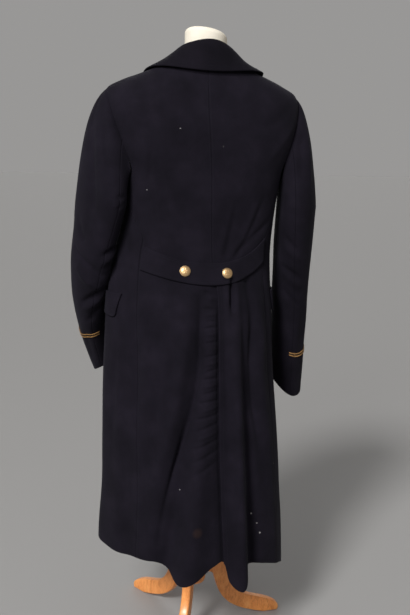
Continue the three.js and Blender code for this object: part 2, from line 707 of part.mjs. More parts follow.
function buttons() {
  for (const { name, u, z } of BELT_BUTTONS) {
    button(name, bodyOut(u, levelAt(u, z), 3 * GAP + DOUBLED), bodyNormal(u, levelAt(u, z)));
  }
  for (const [index, z] of FRONT_BUTTON_HEIGHTS.entries()) {
    for (const [word, side] of [["left", 1], ["right", -1]]) {
      let u = 180;
      while (Math.abs(bodyPoint(u, levelAt(u, z)).x) < FRONT_BUTTON_REACH) u -= 0.25 * side;
      const t = levelAt(u, z);
      button(`front_button_${word}_${index + 1}`, bodyOut(u, t, 0), bodyNormal(u, t));
    }
  }
}

// Dress form and stand

// Angles round the form: every second column of the panels that lie on it, and the open front
function formAngles(t) {
  const level = Math.max(t, SHOULDER);
  const [middle, roll] = [centreBack(level), frontLimit(level)];
  const half = (side) => spread(side * 90, side * roll, (FRONT_COLUMNS + OVERLAP_COLUMNS) / 2);
  const left = [...spread(middle + 2 * NARROW, 90, BACK_COLUMNS / 2), ...half(1).slice(1)];
  const right = [...half(-1).reverse(), ...spread(-90, middle, BACK_COLUMNS / 2).slice(1)];
  return [...left, ...spread(roll, 360 - roll, 4).slice(1, -1), ...right];
}

function dressForm() {
  const ringAt = (t) =>
    formAngles(t).map((u) => {
      const row = (column) => read(FORM, "t", Math.min(t, FORM.at(-1).t), column);
      const power = row("power");
      const [s, c] = [Math.sin(radians(u)), Math.cos(radians(u))];
      const k = (Math.abs(s) ** power + Math.abs(c) ** power) ** (-1 / power);
      const deep = row(c > 0 ? "back" : "front");
      const own = new THREE.Vector3(row("half") * k * s, deep * k * c, t);
      if (t <= FORM.at(-1).t) return own;
      const clear = FORM_CLEAR + NECK_CLEAR * smooth(t, 1405, 1432);
      const seated = bodyOut(u, t, -CLOTH - clear);
      return own.lerp(seated, smooth(t, FORM.at(-1).t, FORM_SEAT));
    });
  const { radius, rise, top, round, slantX, slantY } = FORM_NECK;
  const neckRing = (z, r, slant) =>
    formAngles(NECK).map((u) => {
      const [x, y] = [r * Math.sin(radians(u)), 4 + r * Math.cos(radians(u))];
      return new THREE.Vector3(x, y, z + slant * (slantX * x + slantY * y));
    });
  const rings = [...FORM.map((row) => row.t), 1305, FORM_SEAT, 1372, 1405, 1432].map(ringAt);
  rings.push(neckRing(NECK + 1, radius + 1, 0), neckRing(rise, radius, 0.4));
  rings.push(neckRing(top - round, radius, 1), neckRing(top - round * 0.35, radius - 4, 1));
  rings.push(neckRing(top, radius - 15, 1));
  addPiece("form_torso", solidFromRings(rings), "cover");
}

function latheSolid(name, profile, material, segments) {
  const closed = [{ z: profile[0].z, r: 0 }, ...profile, { z: profile.at(-1).z, r: 0 }];
  const points = closed.map(({ z, r }) => new THREE.Vector2(r, z));
  const geometry = new THREE.LatheGeometry(points, segments);
  geometry.rotateX(Math.PI / 2);
  geometry.deleteAttribute("normal");
  geometry.deleteAttribute("uv");
  return addPiece(name, mergeVertices(geometry), material);
}

// Side view of a leg: out from the hub, steeply down, then a long sweep to a flat foot
function legShape() {
  const shape = new THREE.Shape();
  shape.moveTo(HUB[2].r + LEG_BEVEL + GAP, 196);
  shape.bezierCurveTo(52, 198, 72, 186, 82, 152);
  shape.bezierCurveTo(90, 110, 98, 84, 132, 62);
  shape.bezierCurveTo(168, 42, 206, 40, 232, 18);
  shape.quadraticCurveTo(238, 10, 234, LEG_BEVEL);
  shape.lineTo(196, LEG_BEVEL);
  shape.bezierCurveTo(170, 12, 132, 20, 98, 46);
  shape.bezierCurveTo(66, 74, 64, 104, 54, 134);
  shape.quadraticCurveTo(48, 146, HUB[2].r + LEG_BEVEL + GAP, 146);
  shape.closePath();
  return shape;
}

function stand() {
  const poleFoot = HUB.at(-1).z + GAP;
  const poleTop = FORM[0].t - GAP;
  const pole = [{ z: poleFoot, r: POLE_RADIUS }, { z: poleTop, r: POLE_RADIUS }];
  latheSolid("pole", pole, "beech", 16);
  latheSolid("hub", HUB, "beech", 18);
  for (const [index, turn] of LEG_TURNS.entries()) {
    const geometry = new THREE.ExtrudeGeometry(legShape(), {
      depth: LEG_THICK - 2 * LEG_BEVEL,
      bevelThickness: LEG_BEVEL,
      bevelSize: LEG_BEVEL,
      bevelSegments: 1,
      curveSegments: 5,
    });
    geometry.translate(0, 0, LEG_BEVEL - LEG_THICK / 2);
    geometry.rotateX(Math.PI / 2);
    geometry.deleteAttribute("normal");
    geometry.deleteAttribute("uv");
    const leg = addPiece(`leg_${index + 1}`, mergeVertices(geometry), "beech");
    leg.rotation.z = radians(turn);
  }
}

backs();
fronts();
lapels();
collar();
sleeve(1, "left", LEFT_SLEEVE, LEFT_CUFF);
sleeve(-1, "right", RIGHT_SLEEVE, RIGHT_CUFF);
halfBelt();
pocketFlap(1, "left");
pocketFlap(-1, "right");
buttons();
dressForm();
stand();

export default group;
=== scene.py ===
"""Looks of a wool greatcoat on a dress form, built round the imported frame.

Sizes below are in millimetres in the stand's own frame: the pole is the Z axis, the coat's front
faces -Y and its own left side is +X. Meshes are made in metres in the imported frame.
"""

import math

import bmesh
import bpy
import numpy as np
from mathutils import Matrix, Vector


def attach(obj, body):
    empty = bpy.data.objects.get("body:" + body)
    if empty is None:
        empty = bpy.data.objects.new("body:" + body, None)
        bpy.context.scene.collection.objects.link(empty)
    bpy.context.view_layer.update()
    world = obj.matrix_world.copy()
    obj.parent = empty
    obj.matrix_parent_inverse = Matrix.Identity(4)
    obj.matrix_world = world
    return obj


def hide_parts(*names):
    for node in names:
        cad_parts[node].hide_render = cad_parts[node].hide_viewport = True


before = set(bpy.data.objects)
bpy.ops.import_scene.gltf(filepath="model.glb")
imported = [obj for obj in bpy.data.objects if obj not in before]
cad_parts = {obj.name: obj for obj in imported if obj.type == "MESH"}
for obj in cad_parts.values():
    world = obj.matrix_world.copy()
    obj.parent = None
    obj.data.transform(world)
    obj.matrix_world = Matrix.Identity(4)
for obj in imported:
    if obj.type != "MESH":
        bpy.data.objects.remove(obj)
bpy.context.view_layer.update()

FRAME_SHIFT = np.array([-4.0, -18.0, 0.0])
METRE = 0.001

# Cloth
CLOTH = 2.6
DOUBLED = 4.0
COLLAR_WALL = 3.4
GAP = 0.3
LAP = CLOTH + 1.4
LAID = 2.5 * GAP  # lift of a piece laid on the coat
EDGE = 1.2  # how far in from an edge the cloth has its full thickness
EDGE_THICKNESS = 0.4  # share of the thickness left at the edge itself

# Heights on the coat
HEM_LEVEL = 270
VENT_TOP = 930
UNDERARM = 1170
SHOULDER = 1337
NECK = 1452
BREAK = 1180
CROSSING = 1272
LAPEL_TOP = 1376

# Angles round the body in degrees: 0 at the centre back, 90 at the coat's left side
SIDE_SEAM = 48
UNDERARM_SEAM = 82
SHOULDER_SEAM = 90
FRONT_EDGE = 206.4
ROLL_AT_NECK = 125
COLLAR_END = 132
UNDERLAY = 8.0  # how far the left back runs under the right one at the vent
VENT_SHADOW = 5.0  # how far the left back dives in beside the vent's edge


def table(columns, rows):
    """Named columns of numbers from short rows of text."""
    values = np.array([[float(v) for v in row.split()] for row in rows.strip().splitlines()])
    return dict(zip(columns.split(), values.T))


def crease_rows(rows):
    """Creases from rows of text: half width, depth, strength at each end, then the places."""
    creases = []
    for row in rows.strip().splitlines():
        if not row.strip().startswith("#"):
            wide, deep, start, end, *places = (float(v) for v in row.split())
            creases.append((wide, deep, start, end, list(zip(places[::2], places[1::2]))))
    return creases


# Sections of the coat round the pole
BODY = table(
    "t left right back front power side drop",
    """
    120 248 230 234 222 2.1 0 0
    290 252 223 230 214 2.1 0 0
    450 244 211 216 205 2.1 0 0
    580 244 201 200 196 2.1 0 0
    700 243 190 184 186 2.1 0 0
    800 239 182 170 176 2.15 0 0
    880 235 177 156 166 2.2 0 0
    940 230 173 138 152 2.2 0 0
    1000 218 171 119 140 2.3 0 0
    1060 204 174 113 138 2.4 0 0
    1130 192 181 112 141 2.6 0 0
    1190 196 192 112 143 2.8 8 0
    1240 216 212 111 143 3.0 24 0
    1290 233 227 107 139 3.0 42 4
    1337 234 224 99 129 2.8 47 12
    1372 201 190 91 117 2.6 34 22
    1405 153 147 81 102 2.4 20 34
    1432 107 106 70 84 2.3 11 43
    1452 75 74 60 64 2.1 5 47
    """,
)

HEM = table(
    "u z",
    """
    -210 235
    -180 228
    -150 213
    -110 196
    -76 190
    -62 207
    -48 234
    -33 257
    -22 260
    -18 249
    -11.5 223
    -5.5 242
    -3 285
    3 282
    13 254
    23 244
    30 268
    38 285
    62 279
    105 275
    150 252
    210 232
    """,
)

CENTRE_BACK = table(
    "t u",
    """
    190 -3.4
    430 -1.1
    600 -0.4
    900 -1.3
    930 -1.2
    975 0.6
    1010 1.2
    1250 2.6
    1360 3.6
    1452 6
    """,
)

# Folds: angle and half width at the top and at the foot, and how far each stands out at its foot
FOLDS = table(
    "top_u foot_u top_z foot_z top_wide foot_wide out",
    """
    7 33 940 190 4 7.5 -24
    3 19 900 190 4 9 27
    -13 -12.5 900 190 4 6 34
    -21 -24 940 190 3.5 6 -20
    -40 -42 960 190 6 8 10
    56 54 900 190 6 8 -9
    82 86 860 190 8 10 9
    118 124 900 190 6 10 -16
    140 148 860 190 6 9 12
    -72 -76 900 190 7 9 -8
    -110 -118 900 190 6 10 -15
    -134 -140 860 190 6 9 11
    """,
)

LEFT_SLEEVE = table(
    "x y z long short turn",
    """
    250 3 1122 90 47 19
    260 -2 1064 79 44 16
    272 -16 985 68 42 10
    276 -52 903 60 34 2
    259 -98 822 55 34 -6
    232 -142 748 53 36 -12
    212 -172 703 54 38 -16
    """,
)
RIGHT_SLEEVE = table(
    "x y z long short turn",
    """
    -244 2 1118 89 47 19
    -242 -4 1020 74 46 14
    -243 -14 930 64 43 8
    -247 -26 824 58 41 4
    -251 -40 739 55 40 2
    -254 -56 645 54 40 0
    """,
)
UNDERARM_EASE = 2.7
# How much lower each cuff hangs at two of its sides than in its middle, and how far up its braid is
LEFT_CUFF = {"behind": -28, "outside": 20, "braid": 140, "past": 22}
RIGHT_CUFF = {"behind": 20, "outside": 18, "braid": 108, "past": 12}
# Angles of the armhole's deepest places, on the back and on the front
ARMHOLE_BACK, ARMHOLE_FRONT = 60, 126
TOP_SLEEVE = (-82, 94)
BRAID = {"in": 2, "wide": 3.4, "thick": 1.2, "apart": 7.6}

COLLAR = table(
    "u roll_z lean full edge_t lift",
    """
    -132 1442 3 1 1387 1
    -105 1461 -3 -1 1402 3
    -75 1471 -8 -3 1412 5
    -40 1487 -2 0 1421 8
    0 1500 6 3 1424 7
    40 1492 4 3 1422 8
    75 1476 0 0 1418 4
    105 1462 2 0 1410 2
    132 1443 6 0 1396 1
    """,
)

LAPEL = table(
    "t wide",
    """
    1184 3
    1240 21
    1310 34
    1360 38
    1376 35
    """,
)

BELT = table(
    "u z half",
    """
    -47 1018 28
    -30 988 25
    -14 971 25
    5 967 25
    22 976 25
    47 1003 28
    """,
)
BELT_REACH = 46.8
BELT_BUTTONS = {"belt_button_left": (18, 974), "belt_button_right": (-9.5, 968)}
BUTTON_RADIUS = 12.5
BUTTON_CLEAR = 0.9
FRONT_BUTTON_HEIGHTS = (1150, 1056, 962, 868)
FRONT_BUTTON_REACH = 60
FLAP = {"from": 62.4, "to": 118.4, "top": 917, "deep": 58, "corner": 15, "slant": 5.0}

FORM = table(
    "t half back front power",
    """
    770 140 104 116 2.1
    860 146 110 122 2.2
    940 140 100 114 2.2
    1020 136 92 110 2.2
    1100 150 96 118 2.4
    1180 168 100 124 2.6
    1260 188 98 122 2.8
    """,
)
FORM_SEAT = 1337
FORM_CLEAR = 1.6
NECK_CLEAR = 3
FORM_NECK = {"radius": 50, "rise": 1482, "top": 1523, "round": 13, "slant_x": 0.16, "slant_y": 0.1}

HUB_RADIUS = 28
LEG_TURNS = (61, 181, 301)
LEG_THICK = 23
LEG_ROUND = 4.5


def smooth(x, low, high):
    s = np.clip((np.asarray(x, float) - low) / (high - low), 0, 1)
    return s * s * (3 - 2 * s)


def mix(a, b, s):
    return a + (b - a) * s


def read(source, key, at, column):
    """Smooth values of one column of a table at places along its key column."""
    keys, values = source[key], source[column]
    at = np.asarray(at, float)
    slopes = np.empty_like(values)
    slopes[1:-1] = (values[2:] - values[:-2]) / (keys[2:] - keys[:-2])
    slopes[0] = (values[1] - values[0]) / (keys[1] - keys[0])
    slopes[-1] = (values[-1] - values[-2]) / (keys[-1] - keys[-2])
    i = np.searchsorted(keys[1:-1], at, side="left")
    gap = keys[i + 1] - keys[i]
    s = np.clip((at - keys[i]) / gap, 0, 1)
    start = values[i] * (2 * s**3 - 3 * s**2 + 1) + slopes[i] * gap * (s**3 - 2 * s**2 + s)
    return start + values[i + 1] * (3 * s**2 - 2 * s**3) + slopes[i + 1] * gap * (s**3 - s**2)


def unit(vectors):
    return vectors / np.maximum(np.linalg.norm(vectors, axis=-1, keepdims=True), 1e-9)


def superellipse(u, left, right, back, front, power):
    """Reach from the pole at an angle, and the two half sizes on that side."""
    s, c = np.sin(np.radians(u)), np.cos(np.radians(u))
    k = (np.abs(s) ** power + np.abs(c) ** power) ** (-1 / power)
    return k, s, c, np.where(s > 0, left, right), np.where(c > 0, back, front)


def folds_at(u, z):
    """How far the folds push the cloth out at an angle and height."""
    out = np.zeros(np.broadcast(u, z).shape)
    for top_u, foot_u, top_z, foot_z, top_wide, foot_wide, amount in zip(*FOLDS.values()):
        s = np.clip((top_z - z) / (top_z - foot_z), 0, 1)
        away = (u - mix(top_u, foot_u, s)) / mix(top_wide, foot_wide, s)
        out += amount * s**0.8 * np.exp(-away * away)
    return out


def body_point(u, t):
    """Points of the coat's outer face, before laps and creases."""
    u, t = np.broadcast_arrays(np.asarray(u, float), np.asarray(t, float))
    hem = read(HEM, "u", u, "z")
    skirt = mix(hem, VENT_TOP, (t - HEM_LEVEL) / (VENT_TOP - HEM_LEVEL))
    level = np.where(t < VENT_TOP, skirt, t)
    row = {name: read(BODY, "t", level, name) for name in BODY if name != "t"}
    k, s, c, across, deep = superellipse(
        u, row["left"], row["right"], row["back"], row["front"], row["power"]
    )
    raised = t + row["side"] * s * s - row["drop"] * np.where(c < 0, c * c, 0)
    z = np.where(t < VENT_TOP, skirt, raised)
    outward = unit(np.stack([s / across, c / deep], -1))
    out = folds_at(u, z)
    x = k * across * s + outward[..., 0] * out
    y = k * deep * c + outward[..., 1] * out
    return np.stack([x, y, z], -1)


def body_normal(u, t):
    along_u = body_point(u + 0.5, t) - body_point(u - 0.5, t)
    along_t = body_point(u, t + 2.0) - body_point(u, t - 2.0)
    return unit(np.cross(along_t, along_u))


def level_at(u, z):
    """Level whose surface has a given height at an angle."""
    u, z = np.broadcast_arrays(np.asarray(u, float), np.asarray(z, float))
    low, high = np.full(u.shape, HEM_LEVEL - 100.0), np.full(u.shape, float(NECK))
    for _ in range(24):
        middle = (low + high) / 2
        under = body_point(u, middle)[..., 2] < z
        low, high = np.where(under, middle, low), np.where(under, high, middle)
    return low


def centre_back(t):
    return read(CENTRE_BACK, "t", t, "u")


# The valley of the pleat left of the vent, as places on the coat
PLEAT_VALLEY = table(
    "z u",
    """
    327 34.5
    405 31.8
    489 27
    560 21.8
    621 17.8
    685 14.3
    758 11.6
    813 10.4
    866 9.6
    912 9.4
    """,
)
VALLEY_PATH = [(u, z) for z, u in zip(*PLEAT_VALLEY.values())][::-1]

# Creases of the body cloth, with their places as angle and height pairs. A minus is a trough.
BODY_CREASES = [
    # The pleat left of the vent: its sharp valley, the sunk strip beside it and its soft shoulder
    (4.5, -8, 0.1, 0.1, VALLEY_PATH),
    (11, -7, 0.2, 0.3, VALLEY_PATH),
    *crease_rows("""
    17 -4 0.6 0  5 925  7 850  8.5 770  10 680  12 600  15 520
    14 5 0.2 0.3  15 925  18 830  21 730  27 610  36 480  41 350
    # Pulls from the right button, up and to the side
    9 -3.2 0.9 0  -9 1012  -12 1050  -16 1120  -18 1186
    11 3.0 0.8 0  -6 1008  -9 1050  -16 1130  -24 1221
    8 -3.0 0.9 0  -17 1004  -24 1026  -42 1068  -56 1098
    10 2.6 0.8 0  -16 1016  -24 1046  -31 1096  -35 1150
    8 -2.4 0.8 0  -20 1016  -29 1060  -36 1110  -42 1165
    # The short pleat under that button, and the folds that fall from it
    5 -9 1 0  -13.6 952  -13.0 926  -12.3 900  -11.7 868
    7 3.5 0.8 0.2  -9.8 945  -9 910  -8 850
    7 3 0.8 0.2  -17.4 945  -17 910  -16 860
    12 -11 0.6 0.2  -28 945  -30.5 857  -29 799  -27.5 741  -28 668  -31.5 570  -34 470
    12 4 0.3 0.2  -37 900  -40 820  -37 730  -38 640  -41 540
    13 4 0.5 0.3  -20 940  -18 860  -15 760  -14 660  -13.5 500
    10 -3 0.6 0.2  -5 930  -5.5 850  -6 740  -6.5 600  -7.5 460
    # The hip stands out a little at the left pocket
    30 7 0.2 0.2  76 975  73 915  71 855
    14 -3.5 0.2 0.1  48 850  46 790  46 720  48 640
    # Upper back
    5 -2.2 0.2 0  36.5 1262  42 1210  47 1158
    9 -2.6 0.2 0  38 1212  34 1160  28 1080
    10 2.0 0.2 0  44 1200  40 1140  36 1070
    4 -1.2 0 0  -1.5 1275  -6 1264  -11 1252
    16 -2.4 0.3 0  56 1330  40 1300  28 1296
    14 2.0 0.3 0  52 1372  38 1350  24 1352
    12 -2.2 0.3 0  -52 1360  -36 1318  -22 1300
    10 1.8 0.3 0  -56 1318  -42 1262  -34 1200
    # Round the waist at the left and down the side seams
    7 -3.0 0.3 0  60 1108  53 1062  46 1034  36 1016
    8 2.6 0.3 0  64 1090  58 1048  52 1010
    10 -3.2 0.5 0  51 948  52 880  50 790  49 680  48 560
    12 2.8 0.4 0  43 940  43 860  42 740  40 600
    12 -2.4 0.2 0  31 880  33 760  35 640  38 520
    9 -2.2 0.2 0  66 820  68 720  70 600  73 470
    11 -3.0 0.5 0  -48 950  -50 860  -49 740  -47 600
    12 -2.6 0.2 0  -66 900  -68 780  -70 640  -74 500
    # Fronts: pulls from the buttons and soft hanging folds, as on the back
    9 -3.0 0.8 0  164 1052  146 1078  126 1118  112 1148
    9 -2.8 0.8 0  -164 1058  -148 1088  -128 1122  -114 1146
    10 2.4 0.7 0  162 1040  142 1050  120 1076  104 1104
    10 2.4 0.7 0  -162 1034  -142 1046  -118 1080  -102 1110
    10 -3.0 0.6 0  168 850  166 760  163 640  160 500
    11 -3.2 0.6 0  -160 850  -157 740  -154 620  -150 480
    13 3.0 0.5 0.2  176 830  177 700  178 560  180 420
    12 -2.6 0.4 0  104 840  106 740  110 620  114 480
    12 -2.8 0.4 0  -104 840  -107 730  -112 600  -116 460
    9 -2.4 0.3 0  104 1262  122 1226  140 1206
    9 -2.4 0.3 0  -106 1270  -122 1232  -138 1210
    """),
]

# Small wrinkles across the sunk strip beside the vent: height, tilt over their length, how far
# across they reach, half width and depth
STRIP_WRINKLES = table(
    "z tilt reach wide depth",
    """
    924 -9 1.0 4.0 -3.4
    911 -4 0.7 4.5 2.6
    889 -4 1.0 3.6 -3.2
    876 3 0.9 4.4 2.8
    861 -3 0.8 3.4 -2.4
    846 5 1.0 3.8 -3.6
    831 2 0.9 4.2 2.6
    812 4 1.0 3.6 -3.0
    797 -2 0.7 4.6 2.3
    781 5 1.0 3.6 -3.4
    764 3 0.9 4.2 2.5
    748 6 0.8 3.6 -2.8
    729 4 1.0 3.8 -3.3
    713 7 0.9 4.6 2.4
    697 8 0.9 3.8 -2.8
    676 6 1.0 4.0 -3.4
    659 9 0.8 5.0 2.6
    640 12 1.0 4.2 -3.4
    616 18 0.9 4.6 -3.2
    597 16 0.8 5.0 2.4
    575 24 0.9 4.6 -3.2
    548 30 0.8 5.5 -2.8
    520 34 0.7 6.0 -2.2
    """,
)
for row_z, tilt, reach, row_wide, row_depth in zip(*STRIP_WRINKLES.values()):
    far = (float(read(PLEAT_VALLEY, "z", row_z, "u")) - 1.5) * reach
    near = 0.6
    path = [(near, row_z + tilt / 2), ((near + far) / 2, row_z + 1.5), (far, row_z - tilt / 2)]
    BODY_CREASES.append((row_wide, row_depth, 0.35, 0.1, path))

# Creases of the sleeves, by degrees round the arm and share of the length
LEFT_SLEEVE_CREASES = crease_rows("""
    34 11 0.3 0.2  128 0.27  128 0.42  126 0.58  124 0.72
    5.5 -7 0.4 0.4  6 0.27  24 0.285  42 0.3  64 0.315  84 0.335  98 0.35
    6 -5 0.3 0.1  60 0.5  68 0.485  94 0.46  116 0.45
    6 -4 0.1 0.1  46 -0.62  54 -0.45  62 -0.3
    11 -6.4 0.2 0.1  14 -0.5  22 -0.3  30 -0.05  32 0.12
    12 4.8 0.2 0.1  44 -0.42  52 -0.2  58 0.05
    5 -4.2 0.6 0  112 -0.1  98 -0.085  80 -0.06
    5 -3.5 0.6 0  116 -0.03  100 0.0  84 0.01
    6 -6.4 0.8 0.1  138 0.21  112 0.235  82 0.27
    7 4.8 0.7 0.1  132 0.255  108 0.28  84 0.31
    8 5.4 0.3 0.4  28 0.345  60 0.375  88 0.4
    7 -6.4 0.7 0.1  122 0.405  94 0.44  56 0.485
    8 4.5 0.6 0.1  118 0.45  92 0.49  60 0.54
    6 -3.8 0.5 0.1  124 0.5  100 0.55  76 0.6
    8 -3.8 0.4 0.1  2 0.12  20 0.2  40 0.22
    9 -3.2 0.2 0  70 0.62  66 0.74  64 0.9
    9 -4.5 0.6 0.1  -60 0.3  -96 0.34  -128 0.36
    9 -4.5 0.5 0.1  -50 0.42  -90 0.45  -130 0.44
    10 3.8 0.5 0.1  -56 0.37  -92 0.395  -128 0.4
    12 -4.2 0.2 0.1  -34 -0.5  -42 -0.25  -46 0.02
    """)
RIGHT_SLEEVE_CREASES = crease_rows("""
    11 -5.1 0.2 0.1  66 -0.72  74 -0.45  80 -0.12
    12 4.2 0.2 0.1  42 -0.6  50 -0.3  54 0.02
    7 -4.2 0.6 0.1  124 0.14  104 0.175  74 0.215
    9 3.5 0.6 0.1  120 0.19  98 0.225  70 0.26
    7 -4.8 0.7 0.1  130 0.3  104 0.325  66 0.37
    9 3.8 0.6 0.1  126 0.345  100 0.375  66 0.42
    7 -3.8 0.6 0.1  128 0.43  102 0.47  72 0.5
    12 -4.2 0.3 0  62 0.5  58 0.64  56 0.8
    9 -4.2 0.6 0.1  -56 0.28  -92 0.32  -126 0.33
    9 -4.2 0.5 0.1  -52 0.4  -88 0.42  -124 0.42
    12 -4.2 0.2 0.1  -30 -0.5  -38 -0.25  -42 0.02
    """)


def trail(places, surface, steps=24):
    """A smooth line of points through a few places of a surface."""
    places = np.array(places, float)
    along = np.linspace(0, len(places) - 1, steps)
    source = {"k": np.arange(len(places), dtype=float), "a": places[:, 0], "b": places[:, 1]}
    return surface(read(source, "k", along, "a"), read(source, "k", along, "b"))


def crease_lines(creases, surface):
    """The creases of a surface, each with a line of points closer together than it is wide."""
    lines = []
    for wide, deep, start, end, places in creases:
        rough = trail(places, surface)
        length = np.linalg.norm(np.diff(rough, axis=0), axis=1).sum()
        steps = int(length / (0.4 * wide)) + 4
        lines.append((wide, deep, start, end, trail(places, surface, steps)))
    return lines


def push_of(points, lines):
    """How far a list of crease lines pushes points out along their normals."""
    flat = points.reshape(-1, 3)
    push = np.zeros(len(flat))
    for wide, deep, start, end, line in lines:
        reach = 2.4 * wide
        inside = (flat > line.min(0) - reach) & (flat < line.max(0) + reach)
        near = np.flatnonzero(np.all(inside, axis=1))
        if not len(near):
            continue
        some, local = flat[near] - line[0], line - line[0]
        squared = (some**2).sum(1)[:, None] + (local**2).sum(1) - 2 * some @ local.T
        share = squared.argmin(1) / (len(line) - 1)
        from_start, from_end = smooth(share, 0, 0.35), smooth(1 - share, 0, 0.35)
        strength = mix(start, 1, from_start) * mix(end, 1, from_end)
        push[near] += deep * strength * np.exp(-np.maximum(squared.min(1), 0) / wide**2)
    return push.reshape(points.shape[:-1])


WAVES = np.random.default_rng(11).normal(size=(14, 5))


def unevenness(points):
    """Slow uneven swells of heavy cloth, under a millimetre."""
    total = np.zeros(points.shape[:-1])
    for x, y, z, phase, size in WAVES:
        length = 70 + 45 * abs(size)
        turn = unit(np.array([x, y, 0.6 * z]))
        total += length / 130 * np.sin(points @ turn * 2 * math.pi / length + 6 * phase)
    return 0.17 * total


BODY_LINES = crease_lines(BODY_CREASES, lambda u, z: body_point(u, level_at(u, z)))


def body_cloth(u, t):
    """Outer face of the coat's body with its creases, and its normals."""
    points, normals = body_point(u, t), body_normal(u, t)
    push = push_of(points, BODY_LINES) + unevenness(points)
    return points + normals * push[..., None], normals


# Meshes


def place(obj, node):
    """Puts a piece on the frame, in the place of a CAD node unless it only adds to one."""
    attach(obj, "root")
    if node:
        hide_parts(node)
    return obj


def mesh_piece(name, points, faces, material):
    """A smooth object from points in millimetres."""
    mesh = bpy.data.meshes.new(name)
    mesh.from_pydata(((points + FRAME_SHIFT) * METRE).tolist(), [], faces)
    mesh.polygons.foreach_set("use_smooth", [True] * len(mesh.polygons))
    mesh.materials.append(material)
    mesh.update()
    obj = bpy.data.objects.new(name, mesh)
    bpy.context.scene.collection.objects.link(obj)
    return obj


def facing_out(points, faces):
    """The same faces, turned so that they enclose a positive volume."""
    corner = points[faces]
    volume = np.einsum("ij,ij->i", corner[:, 0], np.cross(corner[:, 1], corner[:, 2])).sum()
    volume += np.einsum("ij,ij->i", corner[:, 0], np.cross(corner[:, 2], corner[:, 3])).sum()
    return faces if volume > 0 else faces[:, ::-1]


def wall_faces(rows, columns):
    """Faces of a closed wall between two grids of points."""
    j, i = np.mgrid[: rows - 1, : columns - 1]
    a = (j * columns + i).ravel()
    count = rows * columns
    front = np.stack([a, a + 1, a + columns + 1, a + columns], 1)
    back = front[:, ::-1] + count
    right = np.arange(1, rows) * columns + columns - 1
    top = (rows - 1) * columns + np.arange(columns - 2, -1, -1)
    left = np.arange(rows - 2, 0, -1) * columns
    loop = np.concatenate([np.arange(columns), right, top, left])
    following = np.roll(loop, -1)
    border = np.stack([following, loop, loop + count, following + count], 1)
    return np.concatenate([front, back, border])


def edge_shares(count, edge):
    """Shares along a piece, with one close to each end for the rounded edge."""
    return np.concatenate([[0, edge], np.linspace(0, 1, count + 1)[1:-1], [1 - edge, 1]])


def roundness(rows, columns):
    """Share of the wall's thickness at each point of a grid."""
    full = np.ones((rows, columns))
    full[[0, -1], :] = EDGE_THICKNESS
    full[:, [0, -1]] = EDGE_THICKNESS
    return full


def cloth_wall(name, points, normals, lift, thick, material):
    """A wall of cloth that lies at a lift over a surface, with rounded edges."""
    rows, columns = points.shape[:2]
    half = (thick / 2 * roundness(rows, columns))[..., None]
    middle = points + normals * np.asarray(lift + thick / 2)[..., None]
    outer, inner = middle + normals * half, middle - normals * half
    both = np.concatenate([outer.reshape(-1, 3), inner.reshape(-1, 3)])
    faces = facing_out(both, wall_faces(rows, columns))
    return mesh_piece(name, both, faces.tolist(), material)


def wool_piece(name, points, normals, lift, thick=CLOTH, material="wool"):
    """A wall of wool in the place of a CAD node."""
    piece = cloth_wall(f"wool_{name}", points, normals, lift, thick, MATERIALS[material])
    return place(piece, name)


def ring_faces(rows, around):
    """Faces of a tube of rings, with both ends left open."""
    j, i = np.mgrid[: rows - 1, :around]
    a, b = (j * around + i).ravel(), (j * around + (i + 1) % around).ravel()
    return np.stack([a, b, b + around, a + around], 1)


def capped_tube(name, rings, material):
    """A solid through rings of points, closed with a fan at each end."""
    rows, around = rings.shape[:2]
    points = rings.reshape(-1, 3)
    faces = facing_out(points, ring_faces(rows, around))
    flipped = faces[0][0] != 0
    caps = []
    for end, first in enumerate((0, (rows - 1) * around)):
        for i in range(around):
            pair = (first + i, first + (i + 1) % around)
            caps.append((len(points) + end, *(pair if flipped != bool(end) else pair[::-1])))
    points = np.concatenate([points, rings[0].mean(0)[None], rings[-1].mean(0)[None]])
    return mesh_piece(name, points, faces.tolist() + caps, material)


# Materials


def node_in(tree, kind, values=(), links=(), **settings):
    """A shader node with its settings, socket values and incoming links."""
    node = tree.nodes.new(kind)
    for key, value in settings.items():
        setattr(node, key, value)
    for key, value in dict(values).items():
        node.inputs[key].default_value = value
    for key, socket in dict(links).items():
        tree.links.new(socket, node.inputs[key])
    return node


def new_group(name, inputs, outputs):
    """An empty shader group with named float inputs and outputs."""
    group = bpy.data.node_groups.new(name, "ShaderNodeTree")
    for label, value in inputs.items():
        socket = group.interface.new_socket(label, in_out="INPUT", socket_type="NodeSocketFloat")
        socket.default_value = value
    for label in outputs:
        group.interface.new_socket(label, in_out="OUTPUT", socket_type="NodeSocketFloat")
    return group, group.nodes.new("NodeGroupInput"), group.nodes.new("NodeGroupOutput")


def math_node(tree, operation, first, second=None, third=None):
    node = tree.nodes.new("ShaderNodeMath")
    node.operation = operation
    for index, value in enumerate((first, second, third)):
        if value is None:
            continue
        if isinstance(value, (int, float)):
            node.inputs[index].default_value = value
        else:
            tree.links.new(value, node.inputs[index])
    return node.outputs[0]


def object_place(tree):
    return node_in(tree, "ShaderNodeTexCoord").outputs["Object"]


def noise(tree, vector, scale, detail, **more):
    """Noise from 0 to 1, with its scale as a number or a link."""
    values = {"Detail": detail, **{name.capitalize(): value for name, value in more.items()}}
    links = {"Vector": vector}
    (values if isinstance(scale, float) else links)["Scale"] = scale
    return node_in(tree, "ShaderNodeTexNoise", values, links).outputs["Fac"]


